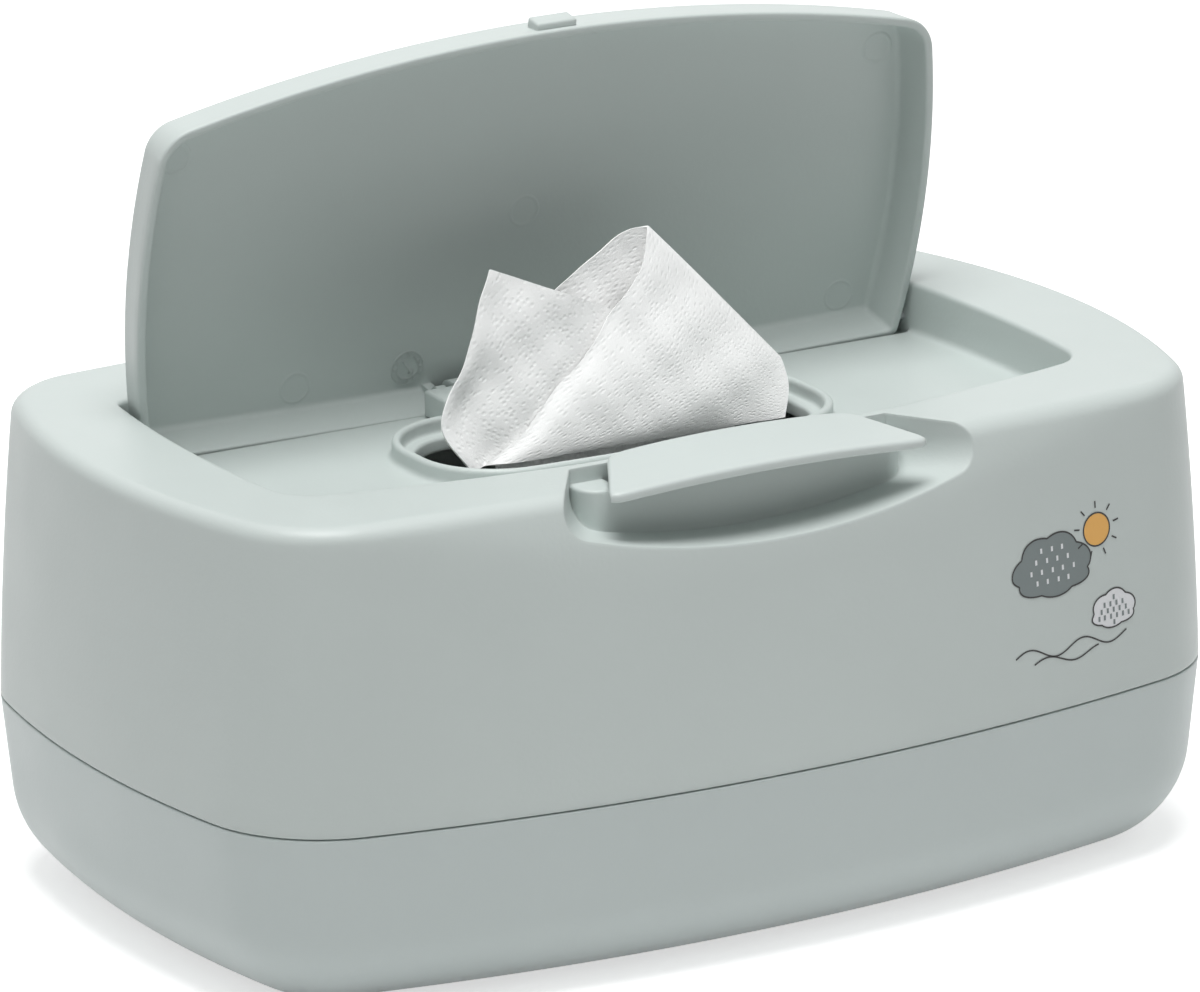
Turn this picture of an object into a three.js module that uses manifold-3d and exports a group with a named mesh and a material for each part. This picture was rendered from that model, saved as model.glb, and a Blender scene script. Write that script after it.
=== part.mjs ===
// Wet wipes box: tray, lift-off cover, sprung flip lid, push button, wipes.
// Millimetres, +Z up, +X along the box, -Y at the front, origin under the middle of the base.
import * as THREE from 'three';
import { mergeVertices } from 'three/addons/utils/BufferGeometryUtils.js';
import Module from 'manifold-3d';

const wasm = await Module();
wasm.setup();

// Whole box
const boxLength = 250;
const boxDepth = 164.2;
const seamHeight = 42;
const rimHeight = 107.4;
const wall = 2.2;
const gap = 0.3;
const overrun = 5;

// Outline of the box at the seam
const sideBow = 442;
const endBow = 266;
const seamCorner = 30;

// Base tray
const baseRadius = 21;
const baseDraft = 0.1;
const spigotHeight = 6;
const spigotWall = 2.4;
const spigotTaper = 5;
const sealThickness = 1.4;
const sealHeight = 1.6;

// Outline of the box at the rim, and how far it leans in from the seam
const endLean = 1.6;
const sideLean = 8.1;
const rimSideBow = 750;
const rimEndBow = 161;
const rimCorner = 25;
const rimRound = 3.2;

// Shallow facet under the long top edges
const facetCut = 3.1;
const facetSlope = 0.33;
const facetBow = 1410;

// Sunken deck for the lid
const recessDepth = 11.4;
const recessSideBow = 300;
const lidClearance = 0.7;
const rearSwingGap = 4.5;

// Flip lid, measured as it lies closed
const lidHalfWidth = 98.4;
const lidSideBow = 190;
const lidWidestAt = -4;
const lidSetback = 22.1;
const lidFrontBow = 389;
const lidRearBow = 4000;
const lidFrontCorner = 9.5;
const lidRearCorner = 3;
const lidWall = 2;
const lidTaper = 1.5;
const lidRound = 2.4;
const lidOpenAngle = 79.8;

// Lid hinge
const pivotY = 32.4;
const pivotAboveLip = 2.7;
const pivotSetback = 4.9;
const lidLipGap = 0.5;
const troughDepth = 2.8;
const troughReach = 2.8;
const lidPinRadius = 1.1;
const lidPinLength = 5;
const axleRadius = 0.9;
const knuckleThickness = 2.4;
const knuckleRadius = 2;
const pinClearance = 0.3;
const springWire = 0.7;
const springTurns = 6;
const springLength = 12;

// Hinge housing
const housingHalfLength = 27.3;
const housingNeckHalf = 19.3;
const housingReach = 13.1;
const housingStep = 3.7;
const housingRoof = 3;
const housingCavity = 16;
const screwSpacing = 40;
const screwRadius = 1.1;
const screwHeadRadius = 1.9;
const screwHeadHeight = 1.1;
const screwLength = 4.4;
const screwSetback = 2.3;

// Slot and its raised collar
const collarHalfLength = 50;
const collarFront = -29.5;
const collarRear = 16.5;
const collarCorner = 19;
const collarHeight = 4.2;
const collarWall = 2;
const ledgeDrop = 3.4;
const ledgeWidth = 3;

// Scoop and button well
const hornHalfWidth = 36.6;
const hornSetback = 23.1;
const scoopFlare = 0.658;
const scoopDepth = 15.6;
const scoopBow = 175;
const scoopCorner = 8;
const wellCorner = 3.4;
const scoopReach = 12;
const scoopWall = 1.6;
const scoopWallDrop = 3.2;
const wellHalfWidth = 37.5;
const wellDepth = 9.4;
const bridgeThickness = 1.5;

// Push button
const buttonSetback = 1.4;
const buttonReach = 19;
const buttonFrontHalf = 39.6;
const buttonRearHalf = 29.6;
const buttonThickness = 2.2;
const buttonFrontRise = 0.5;
const buttonRearRise = 3.1;
const buttonBow = 1500;
const buttonCrown = 420;
const buttonAxleSetback = 16.7;
const buttonAxleDrop = 4.2;
const buttonAxleRadius = 1.2;
const buttonAxleSeat = 1.4;
const armSpacing = 54;
const armThickness = 4;
const armDepth = 2.2;
const bossRadius = 2.6;
const hookWidth = 9;
const hookThickness = 1.6;
const hookTip = 1.6;
const buttonSpringLength = 16;
const buttonSpringTurns = 8;

// Catch tab on the lid's front skirt
const catchHalfWidth = 4.9;
const catchReach = 1.3;
const catchHeight = 4.4;
const catchLift = 1.6;

// Pads under the base
const padRadius = 8;
const padThickness = 1.6;
const padStand = 0.6;
const padSpacingX = 170;
const padSpacingY = 76;

// Wipes
const stackLength = 184;
const stackDepth = 100;
const stackHeight = 54;
const stackCorner = 9;
const stackLayers = 9;
const stackWave = 0.8;
const feedHalfLength = 30;
const feedThickness = 6;
const feedY = -7;
const sheetThickness = 1.5;
const sheetHeight = 44.1;
const sheetHalfWidth = 42;
const frontLean = 2.5;
const rearLean = 6;
const frontRipple = 2.4;
const rearRipple = 1.8;

const rimFront = sideLean - boxDepth / 2;
const lidFront = rimFront + lidSetback;
const scoopBack = rimFront + scoopReach;
const hornY = rimFront + hornSetback;
const wellFront = scoopBack + scoopWall;
const buttonFront = rimFront + buttonSetback;
const buttonRear = buttonFront + buttonReach;
const buttonAxleY = rimFront + buttonAxleSetback;
const deckHeight = rimHeight - recessDepth;
const lipHeight = deckHeight + lidLipGap;
const lidTop = rimHeight;
const lidRear = pivotY + pivotSetback;
const pivotZ = lipHeight + pivotAboveLip;
const deckUnderside = deckHeight - wall;
const troughFloor = deckHeight - troughDepth;
const troughEdge = pivotY - troughReach;
const recessRear = lidRear + rearSwingGap;
const scoopFloor = rimHeight - scoopDepth;
const scoopWallTop = rimHeight - scoopWallDrop;
const wellRear = lidFront - lidClearance - bridgeThickness;
const wellFloor = deckHeight - wellDepth;
const buttonAxleZ = deckHeight - buttonAxleDrop;
const lidNotchHalf = housingNeckHalf + lidClearance;
const hingeAxleHalf = lidNotchHalf + knuckleThickness;
const catchLow = lipHeight + catchLift;
const lidPinStart = lidHalfWidth - (pivotY - lidWidestAt) ** 2 / (2 * lidSideBow) - lidWall + gap;

const plastic = { color: 0xb3c1bb, roughness: 0.5, metalness: 0 };
const palePlastic = { color: 0xbac7c1, roughness: 0.5, metalness: 0 };
const steel = { color: 0xb9bbbd, roughness: 0.3, metalness: 1 };
const rubber = { color: 0x7f8683, roughness: 0.8, metalness: 0 };
const tissue = { color: 0xf3f4f2, roughness: 0.95, metalness: 0 };

// Solids and meshes

function toSolid(geometry) {
  const bare = geometry.clone();
  bare.deleteAttribute('normal');
  bare.deleteAttribute('uv');
  const merged = mergeVertices(bare, 1e-4);
  return new wasm.Manifold(new wasm.Mesh({
    numProp: 3,
    vertProperties: new Float32Array(merged.attributes.position.array),
    triVerts: new Uint32Array(merged.index.array),
  }));
}

function toGeometry(solid) {
  const mesh = solid.getMesh();
  const geometry = new THREE.BufferGeometry();
  geometry.setAttribute('position', new THREE.BufferAttribute(new Float32Array(mesh.vertProperties), 3));
  geometry.setIndex(new THREE.BufferAttribute(new Uint32Array(mesh.triVerts), 1));
  geometry.computeVertexNormals();
  return geometry;
}

function block(x0, x1, y0, y1, z0, z1) {
  const geometry = new THREE.BoxGeometry(x1 - x0, y1 - y0, z1 - z0);
  geometry.translate((x0 + x1) / 2, (y0 + y1) / 2, (z0 + z1) / 2);
  return toSolid(geometry);
}

function rod(radius, x0, x1, y, z, sides = 20) {
  const geometry = new THREE.CylinderGeometry(radius, radius, x1 - x0, sides);
  geometry.rotateZ(Math.PI / 2);
  geometry.translate((x0 + x1) / 2, y, z);
  return toSolid(geometry);
}

function post(radius, x, y, z0, z1, sides = 20) {
  const geometry = new THREE.CylinderGeometry(radius, radius, z1 - z0, sides);
  geometry.rotateX(Math.PI / 2);
  geometry.translate(x, y, (z0 + z1) / 2);
  return toSolid(geometry);
}

// A closed body through a stack of rings with equal counts, capped at both ends.
function loft(rings) {
  const count = rings[0].length;
  const positions = [];
  const index = [];
  for (const ring of rings) {
    for (const p of ring) positions.push(p.x, p.y, p.z);
  }
  for (let r = 0; r < rings.length - 1; r += 1) {
    for (let i = 0; i < count; i += 1) {
      const j = (i + 1) % count;
      const a = r * count + i;
      const b = r * count + j;
      index.push(a, b, b + count, a, b + count, a + count);
    }
  }
  const centreOf = (ring) => ring.reduce((sum, p) => sum.add(p), new THREE.Vector3()).divideScalar(count);
  const low = centreOf(rings[0]);
  const high = centreOf(rings[rings.length - 1]);
  positions.push(low.x, low.y, low.z, high.x, high.y, high.z);
  const lowIndex = rings.length * count;
  const lastRow = (rings.length - 1) * count;
  for (let i = 0; i < count; i += 1) {
    const j = (i + 1) % count;
    index.push(lowIndex, j, i, lowIndex + 1, lastRow + i, lastRow + j);
  }
  const geometry = new THREE.BufferGeometry();
  geometry.setAttribute('position', new THREE.Float32BufferAttribute(positions, 3));
  geometry.setIndex(index);
  return geometry;
}

// The arc that joins two wide arcs: its centre, and the directions of its two ends.
function cornerBetween(centreA, radiusA, centreB, radiusB, radius) {
  const reachA = radiusA - radius;
  const reachB = radiusB - radius;
  const across = centreB.clone().sub(centreA);
  const apart = across.length();
  const along = (reachA ** 2 - reachB ** 2 + apart ** 2) / (2 * apart);
  const off = Math.sqrt(Math.max(reachA ** 2 - along ** 2, 0));
  across.normalize();
  const side = new THREE.Vector2(-across.y, across.x);
  const options = [off, -off].map((s) => centreA.clone().addScaledVector(across, along).addScaledVector(side, s));
  const centre = options[0].x > options[1].x ? options[0] : options[1];
  const fromA = centre.clone().sub(centreA).angle();
  const fromB = centre.clone().sub(centreB).angle();
  return { centre, fromA, fromB };
}

const steps = { front: 7, corner: 5, side: 6, rear: 6 };

function arcPoints(centre, radius, from, to, count) {
  const turn = Math.atan2(Math.sin(to - from), Math.cos(to - from));
  return Array.from({ length: count }, (_, i) => {
    const angle = from + (turn * i) / count;
    return new THREE.Vector2(centre.x + radius * Math.cos(angle), centre.y + radius * Math.sin(angle));
  });
}

// Outline of wide arcs and corner arcs, symmetric about x = 0, anticlockwise from the front's middle.
function outline(o, inset = 0) {
  const s = {
    front: o.front + inset,
    rear: o.rear - inset,
    half: o.half - inset,
    frontBow: o.frontBow - inset,
    rearBow: o.rearBow - inset,
    endBow: o.endBow - inset,
    frontCorner: Math.max(o.frontCorner - inset, wall / 2),
    rearCorner: Math.max(o.rearCorner - inset, wall / 2),
  };
  const frontCentre = new THREE.Vector2(0, s.front + s.frontBow);
  const rearCentre = new THREE.Vector2(0, s.rear - s.rearBow);
  const endCentre = new THREE.Vector2(s.half - s.endBow, o.widestAt);
  const a = cornerBetween(endCentre, s.endBow, frontCentre, s.frontBow, s.frontCorner);
  const b = cornerBetween(endCentre, s.endBow, rearCentre, s.rearBow, s.rearCorner);
  if (a.centre.y > b.centre.y) throw new Error('the outline is too shallow for its corners');
  const right = [
    ...arcPoints(frontCentre, s.frontBow, -Math.PI / 2, a.fromB, steps.front),
    ...arcPoints(a.centre, s.frontCorner, a.fromB, a.fromA, steps.corner),
    ...arcPoints(endCentre, s.endBow, a.fromA, b.fromA, steps.side),
    ...arcPoints(b.centre, s.rearCorner, b.fromA, b.fromB, steps.corner),
    ...arcPoints(rearCentre, s.rearBow, b.fromB, Math.PI / 2, steps.rear),
    new THREE.Vector2(0, s.rear),
  ];
  const left = right.slice(1, -1).reverse().map((p) => new THREE.Vector2(-p.x, p.y));
  return [...right, ...left];
}

const atHeight = (points, z) => points.map((p) => new THREE.Vector3(p.x, p.y, z));
const mix = (a, b, t) => a + (b - a) * t;

const seamOutline = {
  half: boxLength / 2, front: -boxDepth / 2, rear: boxDepth / 2, widestAt: 0,
  frontBow: sideBow, rearBow: sideBow, endBow, frontCorner: seamCorner, rearCorner: seamCorner,
};
const rimOutline = {
  half: boxLength / 2 - endLean, front: rimFront, rear: -rimFront, widestAt: 0,
  frontBow: rimSideBow, rearBow: rimSideBow, endBow: rimEndBow, frontCorner: rimCorner, rearCorner: rimCorner,
};
const lidOutline = {
  half: lidHalfWidth, front: lidFront, rear: lidRear, widestAt: lidWidestAt,
  frontBow: lidFrontBow, rearBow: lidRearBow, endBow: lidSideBow,
  frontCorner: lidFrontCorner, rearCorner: lidRearCorner,
};
const recessOutline = {
  ...lidOutline,
  half: lidHalfWidth + lidClearance,
  front: lidFront - lidClearance,
  rear: recessRear,
  endBow: recessSideBow,
  frontCorner: lidFrontCorner + lidClearance,
};

// The cover's side at a height: the outline between seam and rim, cut back by the facet.
function sideRing(z, inset = 0) {
  const t = (z - seamHeight) / (rimHeight - seamHeight);
  const between = {};
  for (const key of Object.keys(seamOutline)) between[key] = mix(seamOutline[key], rimOutline[key], t);
  return atHeight(outline(between, inset), z).map((p) => {
    const limit = rimOutline.rear - facetCut - inset + facetSlope * (rimHeight - z) - (p.x ** 2) / (2 * facetBow);
    return new THREE.Vector3(p.x, Math.sign(p.y) * Math.min(Math.abs(p.y), limit), z);
  });
}

function coverBody(inset, drop, bottom) {
  const heights = [0, 0.3, 0.6, 0.78, 0.9].map((t) => mix(bottom, rimHeight - rimRound, t));
  const rings = heights.map((z) => sideRing(z, inset));
  for (const angle of [0, 30, 60, 90].map(THREE.MathUtils.degToRad)) {
    const z = rimHeight - drop - rimRound * (1 - Math.sin(angle));
    rings.push(sideRing(z, inset + rimRound * (1 - Math.cos(angle))));
  }
  return toSolid(loft(rings));
}

function sideTube(z0, z1, inset) {
  return toSolid(loft([sideRing(z0, inset), sideRing(z1, inset)]));
}

function prism(points, z0, z1) {
  const section = new wasm.CrossSection([points.map((p) => [p.x, p.y])]);
  return section.extrude(z1 - z0).translate([0, 0, z0]);
}

// Base tray

function trayInset(z) {
  const drafted = baseDraft * (seamHeight - z);
  const below = Math.max(baseRadius - z, 0);
  return drafted + baseRadius - Math.sqrt(baseRadius ** 2 - below ** 2);
}

function trayRing(z, inset = 0) {
  return atHeight(outline(seamOutline, trayInset(z) + inset), z);
}

const spigotInset = wall + gap;
const spigotInner = spigotInset + spigotWall;
const padCentres = [[-1, -1], [1, -1], [1, 1], [-1, 1]].map(
  ([i, j]) => new THREE.Vector2((i * padSpacingX) / 2, (j * padSpacingY) / 2),
);

function baseTray() {
  const joint = seamHeight - gap / 2;
  const spigotTop = seamHeight + spigotHeight;
  const roundHeights = [0.12, 0.3, 0.55, 1].map((s) => baseRadius * s);
  const outer = [padStand, ...roundHeights, joint].map((z) => trayRing(z));
  outer.push(sideRing(joint, spigotInset), sideRing(spigotTop, spigotInset));
  const floor = padStand + wall;
  const taperTop = joint - spigotTaper;
  const inner = [floor, ...roundHeights.slice(1)].map((z) => (
    atHeight(outline(seamOutline, trayInset(Math.max(z - wall / 2, padStand)) + wall), z)
  ));
  inner.push(trayRing(taperTop - spigotTaper, wall));
  inner.push(atHeight(outline(seamOutline, spigotInner), taperTop));
  inner.push(sideRing(spigotTop, spigotInner), sideRing(spigotTop + overrun, spigotInner));
  let tray = toSolid(loft(outer)).subtract(toSolid(loft(inner)));
  const grooveLow = seamHeight + spigotHeight / 2 - sealHeight / 2 - gap;
  const grooveHigh = grooveLow + sealHeight + 2 * gap;
  const grooveOuter = sideTube(grooveLow, grooveHigh, spigotInset - overrun);
  const grooveInner = sideTube(grooveLow, grooveHigh, spigotInset + sealThickness + gap);
  tray = tray.subtract(grooveOuter.subtract(grooveInner));
  for (const c of padCentres) {
    tray = tray.subtract(post(padRadius + gap, c.x, c.y, -overrun, padThickness + gap));
  }
  return tray;
}

function seamSeal() {
  const low = seamHeight + spigotHeight / 2 - sealHeight / 2;
  const ring = sideTube(low, low + sealHeight, spigotInset);
  return ring.subtract(sideTube(low - overrun, low + sealHeight + overrun, spigotInset + sealThickness));
}

// Top cover

const collarOutline = {
  half: collarHalfLength, front: collarFront, rear: collarRear, widestAt: (collarFront + collarRear) / 2,
  frontBow: sideBow, rearBow: lidRearBow, endBow, frontCorner: collarCorner, rearCorner: collarCorner,
};

// Half width of the scoop, whose sides spread towards the front.
const scoopHalf = (y) => hornHalfWidth + scoopFlare * (hornY - y);

// One upright section of the scoop: a bowed floor that runs into both sides through round corners.
function scoopRing(y, grow) {
  const half = scoopHalf(y) + grow;
  const corner = scoopCorner + grow;
  const bow = scoopBow + grow;
  const bowCentre = scoopFloor + scoopBow;
  const cornerX = half - corner;
  const cornerZ = bowCentre - Math.sqrt((bow - corner) ** 2 - cornerX ** 2);
  const meeting = Math.atan2(cornerX, bowCentre - cornerZ);
  const cornerTurn = Math.PI / 2 - meeting;
  const right = [new THREE.Vector3(half, y, rimHeight + 2 * overrun)];
  for (let i = 0; i < steps.corner; i += 1) {
    const angle = (cornerTurn * i) / steps.corner;
    right.push(new THREE.Vector3(cornerX + corner * Math.cos(angle), y, cornerZ - corner * Math.sin(angle)));
  }
  for (let i = 0; i < steps.front; i += 1) {
    const angle = meeting * (1 - i / steps.front);
    right.push(new THREE.Vector3(bow * Math.sin(angle), y, bowCentre - bow * Math.cos(angle)));
  }
  const left = right.map((p) => new THREE.Vector3(-p.x, y, p.z)).reverse();
  return [...right, new THREE.Vector3(0, y, bowCentre - bow), ...left];
}

// The scoop as a cut from outside the front face to the bridge behind the well.
function scoopCut(grow) {
  const ends = [-boxDepth / 2 - overrun, wellRear + grow];
  return toSolid(loft(ends.map((y) => scoopRing(y, grow))));
}

// A body as wide as the well, square at the bridge and with round front corners, grown by a wall thickness.
function wellBody(grow, rear, z0, z1) {
  const half = wellHalfWidth + grow;
  const front = wellFront - grow;
  const corner = wellCorner + grow;
  const arcOf = (side, from) => arcPoints(
    new THREE.Vector2(side * (half - corner), front + corner), corner, from, from + Math.PI / 2, steps.corner,
  );
  return prism([
    new THREE.Vector2(half, rear), new THREE.Vector2(-half, rear),
    ...arcOf(-1, Math.PI), new THREE.Vector2(corner - half, front),
    ...arcOf(1, 1.5 * Math.PI), new THREE.Vector2(half, front + corner),
  ], z0, z1);
}

function topCover() {
  const bottom = seamHeight + gap / 2;
  const high = rimHeight + overrun;
  let voids = coverBody(wall, wall, bottom - overrun);
  voids = voids.subtract(prism(outline(recessOutline, -wall), deckUnderside, high));
  const troughHalf = lidHalfWidth + lidClearance;
  voids = voids.subtract(block(
    -troughHalf - wall, troughHalf + wall, troughEdge - wall / 2, recessRear + wall, troughFloor - wall, high,
  ));
  voids = voids.subtract(scoopCut(wall));
  voids = voids.subtract(wellBody(wall, wellRear + wall, wellFloor - wall, high));
  let cover = coverBody(0, 0, bottom).subtract(voids);
  cover = cover.subtract(prism(outline(recessOutline), deckHeight, high));
  cover = cover.subtract(prism(outline(recessOutline), troughFloor, high).intersect(
    block(-troughHalf, troughHalf, troughEdge, recessRear + overrun, troughFloor, high),
  ));
  cover = cover.subtract(scoopCut(0).subtract(
    wellBody(scoopWall, wellRear + wall, wellFloor - wall, scoopWallTop),
  ));
  cover = cover.subtract(wellBody(0, wellRear, wellFloor, high));
  const notch = catchHalfWidth + lidClearance;
  cover = cover.subtract(block(-notch, notch, wellRear - gap, lidFront, catchLow - lidClearance, high));
  cover = cover.add(prism(outline(collarOutline), deckUnderside, deckHeight + collarHeight));
  cover = cover.subtract(prism(outline(collarOutline, collarWall), deckHeight + collarHeight - ledgeDrop, high));
  cover = cover.subtract(prism(outline(collarOutline, collarWall + ledgeWidth), deckUnderside - overrun, high));
  for (const side of [-1, 1]) {
    const outerEnd = side * (lidHalfWidth + lidClearance + wall + overrun);
    const innerEnd = side * (lidHalfWidth - wall);
    const ends = [outerEnd, innerEnd].sort((p, q) => p - q);
    cover = cover.subtract(rod(lidPinRadius + pinClearance, ...ends, pivotY, pivotZ));
    cover = cover.subtract(post(screwRadius + pinClearance, (side * screwSpacing) / 2, housingFront + screwSetback,
      deckUnderside - overrun, deckHeight + overrun));
  }
  const seat = wellHalfWidth + buttonAxleSeat + pinClearance;
  return cover.subtract(rod(buttonAxleRadius + pinClearance, -seat, seat, buttonAxleY, buttonAxleZ));
}

// Hinge housing, axle, springs and screws

const housingFront = pivotY - housingReach;

function hingeHousing() {
  const top = pivotZ + housingRoof;
  const rear = pivotY + housingRoof;
  const low = deckHeight + gap;
  let body = block(-housingNeckHalf, housingNeckHalf, housingFront, pivotY, low, top);
  body = body.add(rod(housingRoof, -housingNeckHalf, housingNeckHalf, pivotY, pivotZ));
  body = body.intersect(block(-housingNeckHalf, housingNeckHalf, housingFront, rear, low, top));
  body = body.add(block(-housingHalfLength, housingHalfLength, housingFront, pivotY - housingStep, low, top));
  const cavity = springOuter + gap;
  body = body.subtract(block(-housingCavity / 2, housingCavity / 2, pivotY - cavity, rear + overrun, low - overrun,
    pivotZ + cavity));
  body = body.subtract(rod(axleRadius + pinClearance, -housingHalfLength - overrun, housingHalfLength + overrun,
    pivotY, pivotZ));
  for (const side of [-1, 1]) {
    body = body.subtract(post(screwRadius + pinClearance, (side * screwSpacing) / 2, housingFront + screwSetback,
      low - overrun, deckUnderside + screwLength + gap));
  }
  return body;
}

function housingScrew(x) {
  const y = housingFront + screwSetback;
  const headTop = deckUnderside - gap;
  const head = post(screwHeadRadius, x, y, headTop - screwHeadHeight, headTop, 16);
  return head.add(post(screwRadius, x, y, headTop - gap, deckUnderside + screwLength, 12));
}

class Helix extends THREE.Curve {
  constructor(radius, length, turns, y, z) {
    super();
    Object.assign(this, { radius, length, turns, y, z });
  }

  getPoint(t) {
    const angle = 2 * Math.PI * this.turns * t;
    return new THREE.Vector3(
      this.length * (t - 0.5), this.y + this.radius * Math.cos(angle), this.z + this.radius * Math.sin(angle),
    );
  }
}

// A round wire along a helix about X, closed at both ends.
function coil(meanRadius, wire, length, turns, y, z) {
  const curve = new Helix(meanRadius, length, turns, y, z);
  const rings = [];
  const count = turns * 10;
  const sides = 6;
  for (let i = 0; i <= count; i += 1) {
    const t = i / count;
    const angle = 2 * Math.PI * turns * t;
    const centre = curve.getPoint(t);
    const out = new THREE.Vector3(0, Math.cos(angle), Math.sin(angle));
    const tangent = curve.getTangent(t);
    const third = new THREE.Vector3().crossVectors(tangent, out).normalize();
    rings.push(Array.from({ length: sides }, (_, k) => {
      const a = (2 * Math.PI * k) / sides;
      return centre.clone().addScaledVector(out, (wire / 2) * Math.cos(a)).addScaledVector(third, (wire / 2) * Math.sin(a));
    }));
  }
  const gapBetweenTurns = length / turns - wire;
  if (gapBetweenTurns < 0.4) throw new Error('the turns of a spring are too close');
  return toSolid(loft(rings));
}

const springMean = axleRadius + pinClearance + springWire / 2;
const springOuter = springMean + springWire / 2;

// Flip lid, built closed and then turned open

function flipLid() {
  const rounded = [0, 30, 60, 90].map(THREE.MathUtils.degToRad).map((angle) => atHeight(
    outline(lidOutline, lidTaper + lidRound * (1 - Math.cos(angle))), lidTop - lidRound * (1 - Math.sin(angle)),
  ));
  let lid = toSolid(loft([atHeight(outline(lidOutline), lipHeight), ...rounded]));
  lid = lid.subtract(toSolid(loft([
    atHeight(outline(lidOutline, lidWall), lipHeight - overrun),
    atHeight(outline(lidOutline, lidWall), lipHeight),
    atHeight(outline(lidOutline, lidWall + lidTaper), lidTop - lidWall),
  ])));
  const notch = lidNotchHalf;
  lid = lid.subtract(block(-notch, notch, pivotY - overrun, lidRear + overrun, lipHeight - overrun, lidTop - lidWall));
  for (const side of [-1, 1]) {
    const inner = side * notch;
    const outer = side * (notch + knuckleThickness);
    const ends = [inner, outer].sort((p, q) => p - q);
    const knuckle = rod(knuckleRadius, ...ends, pivotY, pivotZ)
      .add(block(...ends, pivotY, pivotY + knuckleRadius, pivotZ, lidTop - lidWall / 2));
    lid = lid.add(knuckle);
    lid = lid.subtract(rod(axleRadius + pinClearance, ...[inner - overrun, outer + overrun].sort((p, q) => p - q),
      pivotY, pivotZ));
    const wallEnds = [side * (lidHalfWidth - lidWall - overrun), side * (lidHalfWidth + overrun)];
    lid = lid.subtract(rod(lidPinRadius + pinClearance, ...wallEnds.sort((p, q) => p - q), pivotY, pivotZ));
  }
  return lid.add(block(-catchHalfWidth, catchHalfWidth, lidFront - catchReach, lidFront + lidWall / 2, catchLow,
    catchLow + catchHeight));
}

// Push button

function plateTop(x, y) {
  const t = (y - buttonFront) / (buttonRear - buttonFront);
  return rimHeight + mix(buttonFrontRise, buttonRearRise, t) - (x ** 2) / (2 * buttonCrown);
}

function pushButton() {
  const across = 10;
  const deep = 4;
  const ringAt = (drop, inset) => {
    const ring = [];
    const point = (u, v) => {
      const half = mix(buttonFrontHalf, buttonRearHalf, v) - inset;
      const x = half * u;
      const bow = (x ** 2) / (2 * buttonBow);
      const front = buttonFront + inset + bow;
      const rear = buttonRear - inset - bow;
      const y = mix(front, rear, v);
      return new THREE.Vector3(x, y, plateTop(x, y) - drop);
    };
    for (let i = 0; i < across; i += 1) ring.push(point(-1 + (2 * i) / across, 0));
    for (let i = 0; i < deep; i += 1) ring.push(point(1, i / deep));
    for (let i = 0; i < across; i += 1) ring.push(point(1 - (2 * i) / across, 1));
    for (let i = 0; i < deep; i += 1) ring.push(point(-1, 1 - i / deep));
    return ring;
  };
  const edge = buttonThickness / 3;
  let button = toSolid(loft([
    ringAt(buttonThickness, edge), ringAt(buttonThickness - edge, 0), ringAt(edge, 0), ringAt(0, edge),
  ]));
  const armTop = plateTop((armSpacing + armThickness) / 2, buttonAxleY) - buttonThickness / 2;
  for (const side of [-1, 1]) {
    const x0 = (side * armSpacing) / 2 - armThickness / 2;
    const x1 = x0 + armThickness;
    button = button.add(block(
      x0, x1, buttonAxleY - armDepth / 2, buttonAxleY + armDepth / 2, buttonAxleZ, armTop,
    ));
    button = button.add(rod(bossRadius, x0, x1, buttonAxleY, buttonAxleZ));
    button = button.subtract(rod(buttonAxleRadius + pinClearance, x0 - overrun, x1 + overrun, buttonAxleY, buttonAxleZ));
  }
  const hookLow = catchLow + catchHeight + gap;
  const pathY = lidFront - catchReach - gap;
  const hookRear = wellRear - gap;
  const hookFront = hookRear - hookThickness;
  button = button.add(block(
    -hookWidth / 2, hookWidth / 2, hookFront, hookRear, hookLow, plateTop(0, hookRear) - buttonThickness / 2,
  ));
  return button.add(block(-hookWidth / 2, hookWidth / 2, hookFront, pathY, hookLow, hookLow + hookTip));
}

// Wipes

// The stack's side waves a little from layer to layer, as folded sheets do.
function wipeStack() {
  const low = padStand + wall + gap;
  const rings = [];
  const count = stackLayers * 2;
  for (let i = 0; i <= count; i += 1) {
    const end = i === 0 || i === count;
    const inset = end ? stackCorner / 2 : stackWave * (i % 2);
    const shape = {
      half: stackLength / 2, front: -stackDepth / 2, rear: stackDepth / 2, widestAt: 0, frontBow: lidRearBow,
      rearBow: lidRearBow, endBow: lidRearBow, frontCorner: stackCorner, rearCorner: stackCorner,
    };
    rings.push(atHeight(outline(shape, inset), low + (stackHeight * i) / count));
  }
  return toSolid(loft(rings));
}

// A standing fold of the sheet: a rippled ribbon cut to a free top edge, then leaned over with height.
// Its top edge runs through points given as shares of half width and height.
function fold(topShares, y, lean, ripple, ripples) {
  const columns = 14;
  const first = topShares[0][0];
  const last = topShares[topShares.length - 1][0];
  const middle = [];
  for (let c = 0; c <= columns; c += 1) {
    const u = c / columns;
    middle.push(new THREE.Vector2(mix(first, last, u) * sheetHalfWidth, ripple * Math.sin(ripples * Math.PI * u)));
  }
  const front = middle.map((p) => new THREE.Vector2(p.x, p.y - sheetThickness / 2));
  const back = middle.map((p) => new THREE.Vector2(p.x, p.y + sheetThickness / 2)).reverse();
  const ribbon = prism([...front, ...back], 0, sheetHeight);
  const edge = topShares.map(([across, up]) => new THREE.Vector2(across * sheetHalfWidth, up * sheetHeight));
  const foot = [new THREE.Vector2(first * sheetHalfWidth, -overrun), new THREE.Vector2(last * sheetHalfWidth, -overrun)];
  const profile = prism([...foot, ...edge.reverse()], -feedHalfLength, feedHalfLength).rotate([90, 0, 0]);
  const shear = new THREE.Matrix4().makeShear(0, 0, 0, 0, 0, lean / sheetHeight);
  return ribbon.intersect(profile).transform(shear.elements).translate([0, y, slotLow]);
}

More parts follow.
